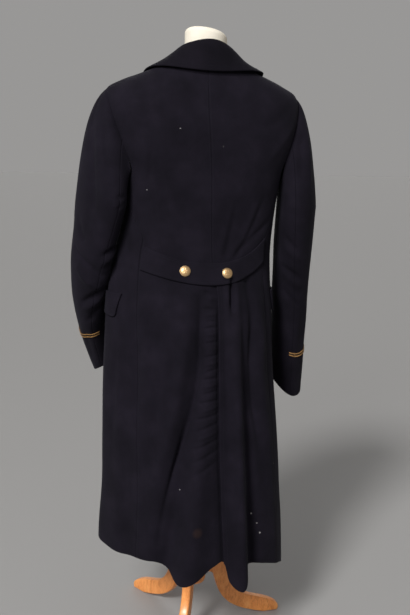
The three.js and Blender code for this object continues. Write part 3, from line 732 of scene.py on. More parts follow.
def nap_group():
    """Brushed wool: cloudy shade, short fibres and their height."""
    sizes = {"Fibre size": 1.0, "Cloud size": 60.0}
    group, start, end = new_group("nap", sizes, ["Shade", "Height"])
    where = object_place(group)
    fibre_scale = math_node(group, "DIVIDE", 1000.0, start.outputs["Fibre size"])
    cloud_scale = math_node(group, "DIVIDE", 1000.0, start.outputs["Cloud size"])
    tuft_scale = math_node(group, "MULTIPLY", fibre_scale, 0.18)
    fibres = noise(group, where, fibre_scale, 3.0, roughness=0.65, distortion=0.6)
    tufts = noise(group, where, tuft_scale, 2.0, roughness=0.5)
    clouds = noise(group, where, cloud_scale, 3.0, roughness=0.6)
    fine = math_node(group, "MULTIPLY_ADD", fibres, 0.45, -0.1)
    group.links.new(math_node(group, "MULTIPLY_ADD", clouds, 0.75, fine), end.inputs["Shade"])
    group.links.new(math_node(group, "MULTIPLY_ADD", tufts, 0.6, fibres), end.inputs["Height"])
    return group


def surface_material(name, roughness=0.8, metallic=0.0, specular=0.5):
    """A material with its Principled shader and output."""
    material = bpy.data.materials.new(name)
    material.use_nodes = True
    shader = material.node_tree.nodes["Principled BSDF"]
    shader.inputs["Roughness"].default_value = roughness
    shader.inputs["Metallic"].default_value = metallic
    shader.inputs["Specular IOR Level"].default_value = specular
    return material, material.node_tree, shader


def colour_ramp(tree, factor, stops):
    ramp = tree.nodes.new("ShaderNodeValToRGB")
    elements = ramp.color_ramp.elements
    while len(elements) < len(stops):
        elements.new(0.5)
    for element, (position, colour) in zip(elements, stops):
        element.position = position
        element.color = (*colour, 1)
    tree.links.new(factor, ramp.inputs["Fac"])
    return ramp.outputs["Color"]


def painted(tree, shader, factor, stops):
    tree.links.new(colour_ramp(tree, factor, stops), shader.inputs["Base Color"])


def bump(tree, shader, height, distance, strength=1.0):
    values = {"Distance": distance, "Strength": strength}
    node = node_in(tree, "ShaderNodeBump", values, {"Height": height})
    tree.links.new(node.outputs["Normal"], shader.inputs["Normal"])


# Pale specks where the nap has been nibbled away, and one faded brown stain
SPECKS = table(
    "x y z radius",
    """
    153 83 1159 1.4
    82 105 1298 1.3
    -19 110 1260 1.2
    90 187 465 1.4
    -88 191 389 2.0
    -102 195 364 1.7
    -110 196 339 2.3
    -157 149 495 1.6
    """,
)
STAIN = {"centre": (58, 238, 375), "radius": 14, "ragged": 16.0, "strength": 0.42}


# Sockets of a Mix node that is set to colours
MIX_UNDER, MIX_OVER, MIX_RESULT = 6, 7, 2


def place_distance(tree, coordinates, centre):
    """Distance in millimetres from a point given in the stand's frame."""
    metres = tuple((np.array(centre) + FRAME_SHIFT) * METRE)
    gap = node_in(tree, "ShaderNodeVectorMath", {1: metres}, {0: coordinates}, operation="DISTANCE")
    return math_node(tree, "MULTIPLY", gap.outputs["Value"], 1000.0)


def covered(tree, under, over, share):
    """One colour laid over another by a share from 0 to 1."""
    values, links = {MIX_OVER: (*over, 1)}, {"Factor": share, MIX_UNDER: under}
    return node_in(tree, "ShaderNodeMix", values, links, data_type="RGBA").outputs[MIX_RESULT]


def add_marks(tree, colour, shade):
    """The wool's colour with its specks and its stain."""
    coordinates = object_place(tree)
    ragged = noise(tree, coordinates, 900.0, 2.0)
    wobble = math_node(tree, "MULTIPLY_ADD", ragged, 2.4, -1.2)
    bare = None
    for *centre, radius in zip(*SPECKS.values()):
        away = math_node(tree, "ADD", place_distance(tree, coordinates, centre), wobble)
        spot = math_node(tree, "LESS_THAN", away, float(radius))
        bare = spot if bare is None else math_node(tree, "MAXIMUM", bare, spot)
    colour = covered(tree, colour, (0.22, 0.21, 0.21), bare)
    away = place_distance(tree, coordinates, STAIN["centre"])
    uneven = math_node(tree, "MULTIPLY_ADD", shade, STAIN["ragged"], away)
    edge, full = STAIN["radius"] + STAIN["ragged"] / 2, STAIN["radius"] * 0.4 + STAIN["ragged"] / 2
    ends = {"From Min": edge, "From Max": full, "To Min": 0.0, "To Max": STAIN["strength"]}
    faded = node_in(tree, "ShaderNodeMapRange", ends, {"Value": uneven})
    return covered(tree, colour, (0.034, 0.018, 0.014), faded.outputs[0])


WOOL_DYES = [
    (0.3, (0.0044, 0.0035, 0.0064)),
    (0.5, (0.0069, 0.0055, 0.0098)),
    (0.72, (0.0112, 0.0088, 0.0152)),
]


def wool_material(nap, name="wool", marked=False, shade=1.0):
    """Dark navy melton, brushed and a little faded."""
    material, tree, shader = surface_material(name, roughness=0.93, specular=0.12)
    sizes = {"Fibre size": 1.3, "Cloud size": 75.0}
    group = node_in(tree, "ShaderNodeGroup", node_tree=nap, values=sizes)
    # A shade below 1 darkens every dye as painted shade; the collar's copy of the wool uses it
    stops = [(position, tuple(shade * part for part in dye)) for position, dye in WOOL_DYES]
    colour = colour_ramp(tree, group.outputs["Shade"], stops)
    if marked:
        colour = add_marks(tree, colour, group.outputs["Shade"])
    tree.links.new(colour, shader.inputs["Base Color"])
    shader.inputs["Sheen Weight"].default_value = 0.02
    shader.inputs["Sheen Roughness"].default_value = 0.5
    shader.inputs["Sheen Tint"].default_value = (0.55, 0.55, 0.75, 1)
    bump(tree, shader, group.outputs["Height"], 0.0006, 0.55)
    return material


def thread_material():
    """Dark sewing thread."""
    material, tree, shader = surface_material("dark_thread", roughness=0.7, specular=0.25)
    twist = noise(tree, object_place(tree), 2500.0, 1.0)
    painted(tree, shader, twist, [(0.3, (0.003, 0.003, 0.006)), (0.7, (0.012, 0.012, 0.02))])
    bump(tree, shader, twist, 0.0002, 0.5)
    return material


def gilt_material():
    """Worn gilding: bright on the high parts, brown in the hollows."""
    material, tree, shader = surface_material("worn_gilt", metallic=1.0)
    age = noise(tree, object_place(tree), 420.0, 4.0, roughness=0.7)
    hollow = node_in(tree, "ShaderNodeNewGeometry").outputs["Pointiness"]
    ends = {"From Min": 0.46, "From Max": 0.53, "To Min": 0.0, "To Max": 0.6}
    sharper = node_in(tree, "ShaderNodeMapRange", ends, {"Value": hollow})
    worn = math_node(tree, "MULTIPLY_ADD", age, 0.55, sharper.outputs[0])
    golds = [(0.2, (0.16, 0.07, 0.025)), (0.5, (0.55, 0.31, 0.13)), (0.85, (0.86, 0.62, 0.34))]
    painted(tree, shader, worn, golds)
    rough = node_in(tree, "ShaderNodeMapRange", {"To Min": 0.6, "To Max": 0.42}, {"Value": worn})
    tree.links.new(rough.outputs[0], shader.inputs["Roughness"])
    bump(tree, shader, age, 0.0002, 0.35)
    return material


def braid_material():
    """Woven gold metal thread, gone dull, with slanting ribs."""
    material, tree, shader = surface_material("gold_braid", roughness=0.55, metallic=0.35)
    coordinates = object_place(tree)
    values = {"Scale": 480.0, "Distortion": 2.0, "Detail": 1.0, "Detail Scale": 3.0}
    ribs = node_in(
        tree, "ShaderNodeTexWave", values, {"Vector": coordinates}, bands_direction="DIAGONAL"
    ).outputs["Fac"]
    age = math_node(tree, "MULTIPLY", noise(tree, coordinates, 260.0, 3.0), 0.6)
    worn = math_node(tree, "MULTIPLY_ADD", ribs, 0.5, age)
    golds = [(0.25, (0.08, 0.035, 0.012)), (0.55, (0.3, 0.15, 0.045)), (0.8, (0.5, 0.28, 0.09))]
    painted(tree, shader, worn, golds)
    bump(tree, shader, ribs, 0.0005, 0.8)
    return material


def cover_material(nap):
    """Cream jersey that covers the dress form."""
    material, tree, shader = surface_material("cream_jersey", roughness=0.85, specular=0.25)
    sizes = {"Fibre size": 0.9, "Cloud size": 90.0}
    group = node_in(tree, "ShaderNodeGroup", node_tree=nap, values=sizes)
    values, links = {"Scale": 260.0, "Distortion": 0.8}, {"Vector": object_place(tree)}
    knit = node_in(tree, "ShaderNodeTexWave", values, links, bands_direction="Z")
    creams = [(0.3, (0.78, 0.7, 0.56)), (0.7, (0.91, 0.85, 0.73))]
    painted(tree, shader, group.outputs["Shade"], creams)
    height = math_node(tree, "MULTIPLY_ADD", knit.outputs["Fac"], 0.4, group.outputs["Height"])
    bump(tree, shader, height, 0.0004, 0.35)
    return material


def beech_material():
    """Varnished beech: orange brown, with fine grain and short flecks along the piece."""
    material, tree, shader = surface_material("varnished_beech", roughness=0.38, specular=0.45)
    scale = {"Scale": (1.0, 1.0, 0.35)}
    stretch = node_in(tree, "ShaderNodeMapping", scale, {"Vector": object_place(tree)}).outputs[0]
    grain = noise(tree, stretch, 75.0, 5.0, roughness=0.6, distortion=1.4)
    flecks = noise(tree, stretch, 520.0, 2.0)
    shade = math_node(tree, "MULTIPLY_ADD", flecks, 0.3, math_node(tree, "MULTIPLY", grain, 0.75))
    browns = [(0.3, (0.54, 0.17, 0.04)), (0.52, (0.86, 0.32, 0.085)), (0.75, (0.97, 0.45, 0.145))]
    painted(tree, shader, shade, browns)
    shader.inputs["Coat Weight"].default_value = 0.2
    shader.inputs["Coat Roughness"].default_value = 0.2
    bump(tree, shader, shade, 0.0004, 0.25)
    return material


NAP = nap_group()
MATERIALS = {
    "wool": wool_material(NAP),
    "marked_wool": wool_material(NAP, "wool_with_marks", marked=True),
    # The collar's cloth is this same wool with every dye darkened: painted shade against the light
    # that falls on the collar from above
    "collar": wool_material(NAP, "collar_wool_painted_shade", shade=0.68),
    "thread": thread_material(),
    "gilt": gilt_material(),
    "braid": braid_material(),
    "cover": cover_material(NAP),
    "beech": beech_material(),
}

# Back and fronts


def down_armhole(t):
    return np.clip((SHOULDER - t) / (SHOULDER - UNDERARM), 0, 1)


def arc(s):
    return np.sqrt(np.maximum(0, 1 - (1 - s) ** 2))


def armhole_edge(t, deepest, above, below):
    """The armhole's edge: above and below its deepest place, as shares of its height."""
    s = down_armhole(t)
    upper = mix(SHOULDER_SEAM, deepest, arc(np.minimum(s / above, 1)))
    lower = mix(UNDERARM_SEAM, deepest, arc(np.minimum((1 - s) / below, 1)))
    return np.where(s < above, upper, lower)


def back_edge(t):
    return armhole_edge(t, ARMHOLE_BACK, 0.78, 0.22)


def front_edge(t):
    return armhole_edge(t, ARMHOLE_FRONT, 0.65, 0.35)


def side_seam(t):
    return mix(SIDE_SEAM, UNDERARM_SEAM, smooth(t, 1040, UNDERARM))


def back_limit(t):
    return np.where(t < UNDERARM, side_seam(t), back_edge(t))


def front_start(t):
    return np.where(t < UNDERARM, side_seam(t), front_edge(t))


def front_limit(t):
    return mix(FRONT_EDGE, ROLL_AT_NECK, np.maximum(0, (t - BREAK) / (NECK - BREAK)))


def beside(edge, t, side):
    """An edge's angles, moved half a gap to one side of its line."""
    u = edge(t)
    degree = np.linalg.norm(body_point(u + 0.5, t) - body_point(u - 0.5, t), axis=-1)
    return u + side * (GAP / 2 / degree)


def fine_levels(step, wrinkled):
    """Levels of a panel's rows, closer at its wrinkles, round the underarm and at both ends."""
    parts = [
        np.arange(HEM_LEVEL + step, 510, step),
        np.arange(510, 935, wrinkled),
        np.arange(935 + step / 2, 1150, step),
        np.arange(1152, 1166, step * 0.8),
        [1168, 1169.9, 1170.1, 1171, 1172.5, 1174.5],
        np.arange(1177, 1200, 2.5),
        np.arange(1200 + step, NECK - step / 2, step),
    ]
    return np.concatenate([[HEM_LEVEL, HEM_LEVEL + EDGE], *parts, [NECK - EDGE, NECK]])


BACK_LEVELS, FRONT_LEVELS = fine_levels(5, 2.4), fine_levels(5, 5)


def body_panel(name, start_at, end_at, columns, rows, sunk=None, crowd=1.0, material="wool"):
    """A panel of the body between two edges, given as angles by level."""
    levels = rows[:, None]
    shares = edge_shares(columns, EDGE / 220)[None, :] ** crowd
    angles = mix(start_at(levels), end_at(levels), shares)
    points, normals = body_cloth(angles, levels)
    depth = sunk(angles, levels) if sunk else 0
    return wool_piece(name, points, normals, -depth - CLOTH, material=material)


def make_backs():
    joined = VENT_TOP + 26  # level at which the left back's edge meets the seam

    def left_start(t):
        underlay = centre_back(t) - UNDERLAY
        return mix(underlay, beside(centre_back, t, 1), smooth(t, VENT_TOP, joined))

    def under_vent(u, t):
        away = u - centre_back(t)
        lapped = (1 - smooth(away, 0.5, 5)) * (1 - smooth(t, joined, joined + 30))
        beside_edge = (1 - smooth(away, -0.2, 2.4)) * (1 - smooth(t, VENT_TOP - 90, VENT_TOP))
        return LAP * lapped + VENT_SHADOW * beside_edge

    right = body_panel(
        "back_right",
        lambda t: beside(lambda t: -back_limit(t), t, 1),
        lambda t: beside(centre_back, t, -1),
        60, BACK_LEVELS, material="marked_wool",
    )
    left = body_panel(
        "back_left", left_start, lambda t: beside(back_limit, t, -1),
        72, BACK_LEVELS, under_vent, 1.3, "marked_wool",
    )


def make_fronts():
    def left_start(t):
        return beside(front_start, t, 1)

    def under_left(u, t):
        return LAP * smooth(-u, 132, 150) * (1 - smooth(t, CROSSING, 1300))

    left = body_panel("front_left", left_start, front_limit, 84, FRONT_LEVELS)
    right = body_panel(
        "front_right", lambda t: -front_limit(t), lambda t: -left_start(t),
        84, FRONT_LEVELS, under_left,
    )


# Name, side, lowest level, lift and flat size in metres
LAPELS = (
    ("lapel_left", 1, BREAK + 6, 2.7, (0.13, 0.2)),
    ("lapel_right", -1, CROSSING + 4, 1.9, (0.12, 0.15)),
)


def make_lapels():
    for name, side, low, lift, size in LAPELS:
        t = mix(low, LAPEL_TOP, edge_shares(34, 0.006))[:, None]
        roll = front_limit(t)
        shares = edge_shares(24, 0.012)[None, :]
        angles = side * mix(roll - read(LAPEL, "t", t, "wide"), roll, shares)
        piece = wool_piece(name, *body_cloth(angles, np.broadcast_to(t, angles.shape)), lift)


# Collar


def catmull(controls, places):
    """Points on a centripetal curve through control points, at shares of its length."""
    count = len(controls)
    first = 2 * controls[0] - controls[1]
    last = 2 * controls[-1] - controls[-2]
    chain = [first, *controls, last]
    rows = []
    for place_on in places:
        at = place_on * (count - 1)
        k = min(int(at), count - 2)
        w = at - k
        p0, p1, p2, p3 = chain[k : k + 4]
        steps = ((p0, p1), (p1, p2), (p2, p3))
        d0, d1, d2 = (np.sqrt(np.linalg.norm(b - a, axis=-1, keepdims=True)) for a, b in steps)
        m1 = ((p1 - p0) / d0 - (p2 - p0) / (d0 + d1) + (p2 - p1) / d1) * d1
        m2 = ((p2 - p1) / d1 - (p3 - p1) / (d1 + d2) + (p3 - p2) / d2) * d1
        square, cube = 3 * (p2 - p1) - 2 * m1 - m2, 2 * (p1 - p2) + m1 + m2
        rows.append(p1 + m1 * w + square * w**2 + cube * w**3)
    return np.stack(rows)


def collar_grid(shares, places):
    u = mix(-COLLAR_END, COLLAR_END, shares)
    row = {name: read(COLLAR, "u", u, name) for name in COLLAR if name != "u"}
    seam = body_point(u, NECK)
    outward = unit(seam * [1, 1, 0])
    rise = np.array([0, 0, 1.0])
    foot = seam + rise * 3 * GAP
    roll = seam + outward * row["lean"][:, None]
    roll[:, 2] = row["roll_z"]
    stand = mix(foot, roll, 0.55) - outward * 2
    edge = body_point(u, row["edge_t"])
    edge = edge + body_normal(u, row["edge_t"]) * (row["lift"] + COLLAR_WALL + 2 * GAP)[:, None]
    past = mix(roll, edge, 0.12) - rise * 2 + outward * 5
    fall = mix(roll, edge, 0.55) + outward * row["full"][:, None]
    return catmull([foot, stand, roll, past, fall, edge], places)


def make_collar():
    shares, places = edge_shares(120, 0.002), edge_shares(44, 0.008)
    points = collar_grid(shares, places)
    ahead, behind = (collar_grid(np.clip(shares + step, 0, 1), places) for step in (0.002, -0.002))
    inward = unit(np.cross(np.gradient(points, axis=0), ahead - behind))
    uneven = points + inward * (0.6 * unevenness(points * 1.3))[..., None]
    piece = wool_piece("collar", uneven, -inward, -COLLAR_WALL, COLLAR_WALL, "collar")
    return points, inward


# Sleeves


def sleeve_frame(source, s):
    last = len(source["z"]) - 1
    at = min(max(s, 0), 1) * last
    rows = {"k": np.arange(last + 1, dtype=float), **source}

    def centre_at(k):
        return np.array([float(read(rows, "k", k, axis)) for axis in "xyz"])

    along = unit(centre_at(min(at + 0.2, last)) - centre_at(max(at - 0.2, 0)))
    along = unit(mix(along, np.array([0, 0, -1.0]), 1 - float(smooth(at, 0, 1))))
    long, short, turn = (float(read(rows, "k", at, name)) for name in ("long", "short", "turn"))
    return centre_at(at), along, long, short, turn


def armhole_point(side, degrees):
    """Points round the armhole where the sleeve is set in."""
    down = (1 - np.cos(np.radians(degrees))) / 2
    level = mix(SHOULDER + 1.5, UNDERARM - 1.5, down)
    at_back = np.sin(np.radians(degrees)) >= 0
    u = np.where(at_back, back_edge(level), front_edge(level))
    under = smooth(down, 0.55, 0.85)
    out = mix(-0.9 * CLOTH, 3 * GAP, under) + UNDERARM_EASE * smooth(down, 0.6, 0.95)
    into = np.where(at_back, 0.25, -0.25) * (1 - under)
    return body_point(side * (u + into), level) + body_normal(side * u, level) * out[..., None]


def sleeve_row(side, source, cuff, degrees, s):
    """Points round the arm at a share of its length, or of the sleeve's head if it is below 0."""
    centre, along, long, short, turn = sleeve_frame(source, s)
    level = np.array([side * math.cos(math.radians(turn)), math.sin(math.radians(turn)), 0])
    outside = unit(level - along * level.dot(along))
    behind = np.cross(along, outside) * side
    if behind[1] < 0:
        behind = -behind
    c, d = np.cos(np.radians(degrees))[:, None], np.sin(np.radians(degrees))[:, None]
    point = centre + outside * short * c + behind * long * d
    if s >= 0:
        lower = cuff["behind"] * np.maximum(d, 0) ** 2 + cuff["outside"] * c
        return point + along * s**2 * lower
    start = armhole_point(side, degrees)
    bend = mix(start, point, np.array([0.76, 0.6, 0.12]))
    k = 1 + max(s, -1)
    return start * (1 - k) ** 2 + bend * 2 * k * (1 - k) + point * k * k


def sleeve_surface(side, source, cuff):
    """Function that gives sleeve points for angles round the arm and shares of its length."""

    def surface(degrees, shares):
        degrees, shares = np.broadcast_arrays(np.asarray(degrees, float), np.asarray(shares, float))
        pairs = zip(degrees.ravel(), shares.ravel())
        flat = [sleeve_row(side, source, cuff, np.array([a]), s)[0] for a, s in pairs]
        return np.array(flat).reshape(*degrees.shape, 3)

    return surface


def arm_middle(side, source, cuff, s):
    return sleeve_row(side, source, cuff, np.array([0.0, 180.0]), s).mean(0)


def sleeve_cloth(side, source, cuff, degrees, shares, lines):
    """Sleeve grid with its creases, and its outward normals."""

    def grid(turn):
        return np.stack([sleeve_row(side, source, cuff, degrees + turn, s) for s in shares])

    points = grid(0)
    normals = unit(np.cross(grid(1.5) - grid(-1.5), np.gradient(points, axis=0)))
    centres = np.stack([arm_middle(side, source, cuff, s) for s in shares])[:, None]
    normals *= np.sign(((points - centres) * normals).sum(-1))[..., None]
    push = push_of(points, lines) + unevenness(points)
    fade = smooth(shares, -1, -0.75)[:, None]
    return points + normals * (push * fade)[..., None], normals


SLEEVE_SEAM = 0.1  # degrees between a seam's line and each piece


def make_sleeve(side, word, source, cuff, creases):
    head = np.concatenate([[-1, -0.992], np.linspace(-0.97, -0.04, 38)])
    arm = np.concatenate([np.linspace(0, 1, 120)[:-1], [0.998, 1]])
    shares = np.concatenate([head, arm])
    low, high = TOP_SLEEVE
    lines = crease_lines(creases, sleeve_surface(side, source, cuff))
    for part, start, end, count in (("top", low, high, 56), ("under", high, low + 360, 52)):
        degrees = mix(start + SLEEVE_SEAM, end - SLEEVE_SEAM, edge_shares(count, 0.005))
        points, normals = sleeve_cloth(side, source, cuff, degrees, shares, lines)
        piece = wool_piece(f"sleeve_{word}_{part}", points, normals, 0)
    make_braids(side, word, source, cuff, lines)


# Shares across a braid, and how its plait rises on each
BRAID_ACROSS = np.array([0, 0.12, 0.35, 0.5, 0.65, 0.88, 1])
BRAID_PLAIT = np.array([1, 1, 1, 0, -1, -1, -1])[:, None]


def make_braids(side, word, source, cuff, lines):
    ends = [arm_middle(side, source, cuff, s) for s in (0, 0.5, 1)]
    length = np.linalg.norm(ends[0] - ends[1]) + np.linalg.norm(ends[1] - ends[2])
    count = 180
    low, high = TOP_SLEEVE
    degrees = mix(low + BRAID["in"], high + cuff["past"], np.linspace(0, 1, count))
    plait = 0.14 * np.sin(np.arange(count) * 2 * math.pi / 5)[None, :] * BRAID_PLAIT
    for index, part in enumerate(("lower", "upper")):
        start = 1 - (cuff["braid"] + index * BRAID["apart"]) / length
        shares = mix(start, start - BRAID["wide"] / length, BRAID_ACROSS)
        points, normals = sleeve_cloth(side, source, cuff, degrees, shares, lines)
        points = points + normals * (plait + 0.1)[..., None]
        name, lift, thick = f"braid_{word}_{part}", CLOTH + 2 * GAP, BRAID["thick"]
        piece = cloth_wall(f"gold_{name}", points, normals, lift, thick, MATERIALS["braid"])
        place(piece, name)


# Half belt and flaps


def make_half_belt():
    u = mix(-BELT_REACH, BELT_REACH, edge_shares(90, 0.004))
    middle, half = read(BELT, "u", u, "z"), read(BELT, "u", u, "half")
    levels = mix(middle - half, middle + half, edge_shares(14, 0.024)[:, None])
    angles = np.broadcast_to(u, levels.shape)
    piece = wool_piece("half_belt", *body_cloth(angles, levels), LAID, DOUBLED)


def make_flap(side, word):
    shares = edge_shares(46, 0.006)
    from_end = np.minimum(shares, 1 - shares) / 0.1
    rounding = FLAP["corner"] * (1 - arc(np.minimum(from_end, 1)))
    rows = edge_shares(18, 0.02)[:, None]
    leaning = FLAP["slant"] * (0.6 - rows) * (1 - shares)
    angles = side * (mix(FLAP["from"], FLAP["to"], shares) + leaning)
    heights = mix(FLAP["top"] - FLAP["deep"] + rounding, FLAP["top"], rows)
    points, normals = body_cloth(angles, level_at(angles, heights))
    piece = wool_piece(f"flap_{word}", points, normals, LAID, DOUBLED)


# Buttons


# Reach and height round the button's edge from the shank side, and reaches over its dome
BUTTON_EDGE = [(0.3, -0.5), (0.92, -0.3), (0.99, 0.5), (1.0, 1.0), (0.985, 1.6)]
BUTTON_EDGE += [(0.95, 1.95), (0.915, 1.75)]
BUTTON_DOME = (0.89, 0.84, 0.78, 0.7, 0.62, 0.54, 0.46, 0.38, 0.3, 0.22, 0.15, 0.09, 0.04)
DOME_EDGE, DOME_FOOT, DOME_RISE = 0.93, 1.6, 4.1


def button_rings():
    """Rings of a domed button, with a roped rim, a plain field and a low rosette in a ring."""
    turn = np.radians(np.arange(96) * 360 / 96)
    dome = [(r, DOME_FOOT + DOME_RISE * math.sqrt(1 - (r / DOME_EDGE) ** 2)) for r in BUTTON_DOME]
    rings = []
    for reach, height in BUTTON_EDGE + dome:
        relief = 0 * turn
        if DOME_EDGE < reach <= 1 and height > 1.2:
            relief += 0.22 * np.cos(30 * turn + 9 * reach)
        if height > 2.4:
            relief += 0.45 * np.cos(3 * turn) ** 2 * math.exp(-(((reach - 0.38) / 0.16) ** 2))
            relief += 0.35 * math.exp(-(((reach - 0.68) / 0.035) ** 2))
        r = BUTTON_RADIUS * reach
        rings.append(np.stack([r * np.cos(turn), r * np.sin(turn), height + relief], -1))
    return np.stack(rings)


BUTTON_RINGS = button_rings()


def make_button(name, u, z, lift):
    angle, level = np.array([float(u)]), np.array([float(level_at(u, z))])
    normal = body_normal(angle, level)[0]
    seat = body_point(angle, level)[0] + normal * (lift + BUTTON_CLEAR)
    turn = np.array(Vector((0, 0, 1)).rotation_difference(Vector(normal)).to_matrix())
    piece = capped_tube(f"gilt_{name}", BUTTON_RINGS @ turn.T + seat, MATERIALS["gilt"])
    place(piece, name)


def make_buttons():
    for name, (u, z) in BELT_BUTTONS.items():
        make_button(name, u, z, DOUBLED + LAID)
    turns = np.arange(0, 60, 0.25)
    for index, z in enumerate(FRONT_BUTTON_HEIGHTS):
        for word, side in (("left", 1), ("right", -1)):
            angles = 180 - turns * side
            reach = np.abs(body_point(angles, level_at(angles, z))[:, 0])
            u = angles[np.argmax(reach >= FRONT_BUTTON_REACH)]
            make_button(f"front_button_{word}_{index + 1}", u, z, 0)


# Dress form and stand


def form_rings():
    """Rings of the dress form: its own shape, the coat's inside at the shoulders, and the neck."""
    u = np.linspace(-180, 180, 120, endpoint=False)
    own_top = FORM["t"][-1]
    rings = []
    for t in [*np.arange(FORM["t"][0], 1440, 8), 1436.0]:
        row = {name: float(read(FORM, "t", min(t, own_top), name)) for name in FORM if name != "t"}
        half = row["half"]
        k, s, c, across, deep = superellipse(u, half, half, row["back"], row["front"], row["power"])
        levels = np.full(u.shape, t)
        own = np.stack([across * k * s, deep * k * c, levels], -1)
        if t > own_top:
            clear = FORM_CLEAR + NECK_CLEAR * float(smooth(t, 1405, 1432))
            seated = body_point(u, levels) - body_normal(u, levels) * (CLOTH + clear + 0.4)
            own = mix(own, seated, float(smooth(t, own_top, FORM_SEAT)))
        rings.append(own)
    radius, top, soft = FORM_NECK["radius"], FORM_NECK["top"], FORM_NECK["round"]
    # Height, what is added to the radius, and share of the top's slant
    neck = [(NECK + 1, 3, 0), (1460, 1.2, 0.1), (1470, 0.2, 0.25)]
    neck += [(FORM_NECK["rise"], 0, 0.4), (1496, 0, 0.8)]
    bend = np.radians(np.linspace(0, 90, 9))
    neck += [(top - soft + soft * math.sin(a), -soft * (1 - math.cos(a)), 1) for a in bend]
    neck += [(top + 0.3, -24, 1), (top + 0.5, -36, 1), (top + 0.5, -46, 1)]
    for z, more, slant in neck:
        x = (radius + more) * np.sin(np.radians(u))
        y = 4 + (radius + more) * np.cos(np.radians(u))
        tilt = slant * (FORM_NECK["slant_x"] * x + FORM_NECK["slant_y"] * y)
        rings.append(np.stack([x, y, z + tilt], -1))
    return np.stack(rings)


def make_form():
    piece = capped_tube("form_cover", form_rings(), MATERIALS["cover"])
    place(piece, "form_torso")


def turned_piece(name, node, profile):
    """A piece turned on a lathe from a profile of heights and radii."""
    turn = np.radians(np.arange(64) * 360 / 64)
    rings = [np.stack([r * np.cos(turn), r * np.sin(turn), z + 0 * turn], -1) for z, r in profile]
    place(capped_tube(name, np.stack(rings), MATERIALS["beech"]), node)


def bezier(points, steps=14):
    """Points of a Bezier curve of any degree, without its first one."""
    points = [np.array(p, float) for p in points]
    found = []
    for s in np.linspace(0, 1, steps + 1)[1:]:
        layer = points
        while len(layer) > 1:
            layer = [mix(a, b, s) for a, b in zip(layer, layer[1:])]
        found.append(layer[0])
    return found


def leg_outline():
    """Side view of a leg, out from the hub and down to a flat foot."""
    near = HUB_RADIUS + GAP + 0.2
    outline = [np.array([near, 200.0])]
    outline += bezier([(near, 200), (54, 202.5), (76, 190), (86, 153)])
    outline += bezier([(86, 153), (94, 112), (101, 88), (134, 65.5)])
    outline += bezier([(134, 65.5), (170, 46), (208, 44), (235, 21)])
    outline += bezier([(235, 21), (243, 11), (236, 0)], 8)
    outline += [np.array([196.0, 0.0])]
    outline += bezier([(196, 0), (169, 8), (130, 16), (95.5, 42.5)])
    outline += bezier([(95.5, 42.5), (62, 72), (60, 102), (50, 132)])
    outline += bezier([(50, 132), (45, 142), (near, 142)], 6)
    return np.array(outline)


def make_leg(name, turn):
    mesh = bmesh.new()
    half = LEG_THICK / 2
    face = mesh.faces.new([mesh.verts.new((x, -half, z)) for x, z in leg_outline()])
    moved = bmesh.ops.extrude_face_region(mesh, geom=[face])["geom"]
    for vertex in moved:
        if isinstance(vertex, bmesh.types.BMVert):
            vertex.co.y = half
    bmesh.ops.recalc_face_normals(mesh, faces=mesh.faces)
    rims = [e for e in mesh.edges if abs(e.verts[0].co.y - e.verts[1].co.y) < 1e-6]
    rounding = {"offset": LEG_ROUND, "segments": 4, "profile": 0.5}
    bmesh.ops.bevel(mesh, geom=rims, affect="EDGES", clamp_overlap=True, **rounding)
    bmesh.ops.triangulate(mesh, faces=[f for f in mesh.faces if len(f.verts) > 4])
    points = np.array([v.co for v in mesh.verts])
    faces = [[v.index for v in f.verts] for f in mesh.faces]
    mesh.free()
    c, s = math.cos(math.radians(turn)), math.sin(math.radians(turn))
    turned = points @ np.array([[c, s, 0], [-s, c, 0], [0, 0, 1]])
    place(mesh_piece(f"beech_{name}", turned, faces, MATERIALS["beech"]), name)


# Heights and radii of the turned pieces
POLE = [(220.4, 13), (221.5, 14), (495, 14), (769.2, 14)]
HUB = [(112, 12), (113, 14), (116.5, 21), (118.5, 24), (124, 26.5)]
HUB += [(z, HUB_RADIUS) for z in (130, 132, 163, 195)]
HUB += [(197, 27.4), (205, 24.5), (211, 22.4), (213, 22), (219, 22), (219.8, 21.4)]


def make_stand():
    turned_piece("beech_pole", "pole", POLE)
    turned_piece("beech_hub", "hub", HUB)
    for number, turn in enumerate(LEG_TURNS, 1):
        make_leg(f"leg_{number}", turn)


# Stitching


STITCH = {"long": 3.2, "step": 4.6, "half_wide": 0.34, "high": 0.32, "sunk": 0.35, "lift": 0.02}


def stitch_rows(name, lines):
    """Stitches along lines of points, each with its normals, as one joined mesh."""
    points, faces = [], []
    for line, normals in lines:
        gaps = np.linalg.norm(np.diff(line, axis=0), axis=1)
        travelled = np.concatenate([[0], np.cumsum(gaps)])

        def along_line(values, distance):
            return np.array([np.interp(distance, travelled, column) for column in values.T])

        for start in np.arange(1, travelled[-1] - STITCH["long"], STITCH["step"]):
            ends = [along_line(line, start), along_line(line, start + STITCH["long"])]
            normal = unit(along_line(normals, start))
            side = np.cross(unit(ends[1] - ends[0]), normal) * STITCH["half_wide"]
            up, down = normal * STITCH["high"], normal * STITCH["sunk"]
            first = len(points)
            points += [ends[0] - down, ends[1] - down]
            for share in (0.25, 0.75):
                centre = mix(*ends, share)
                points += [centre - side, centre + up, centre + side, centre - down]
            a, b = first + 2, first + 6
            for i in range(4):
                n = (i + 1) % 4
                faces.append((a + i, a + n, b + n, b + i))
                faces += [(first, a + n, a + i), (first + 1, b + i, b + n)]
    place(mesh_piece(name, np.array(points), faces, MATERIALS["thread"]), None)


def body_line(angles, levels, over=0):
    points, normals = body_cloth(angles, levels)
    return points + normals * (over + STITCH["lift"]), normals


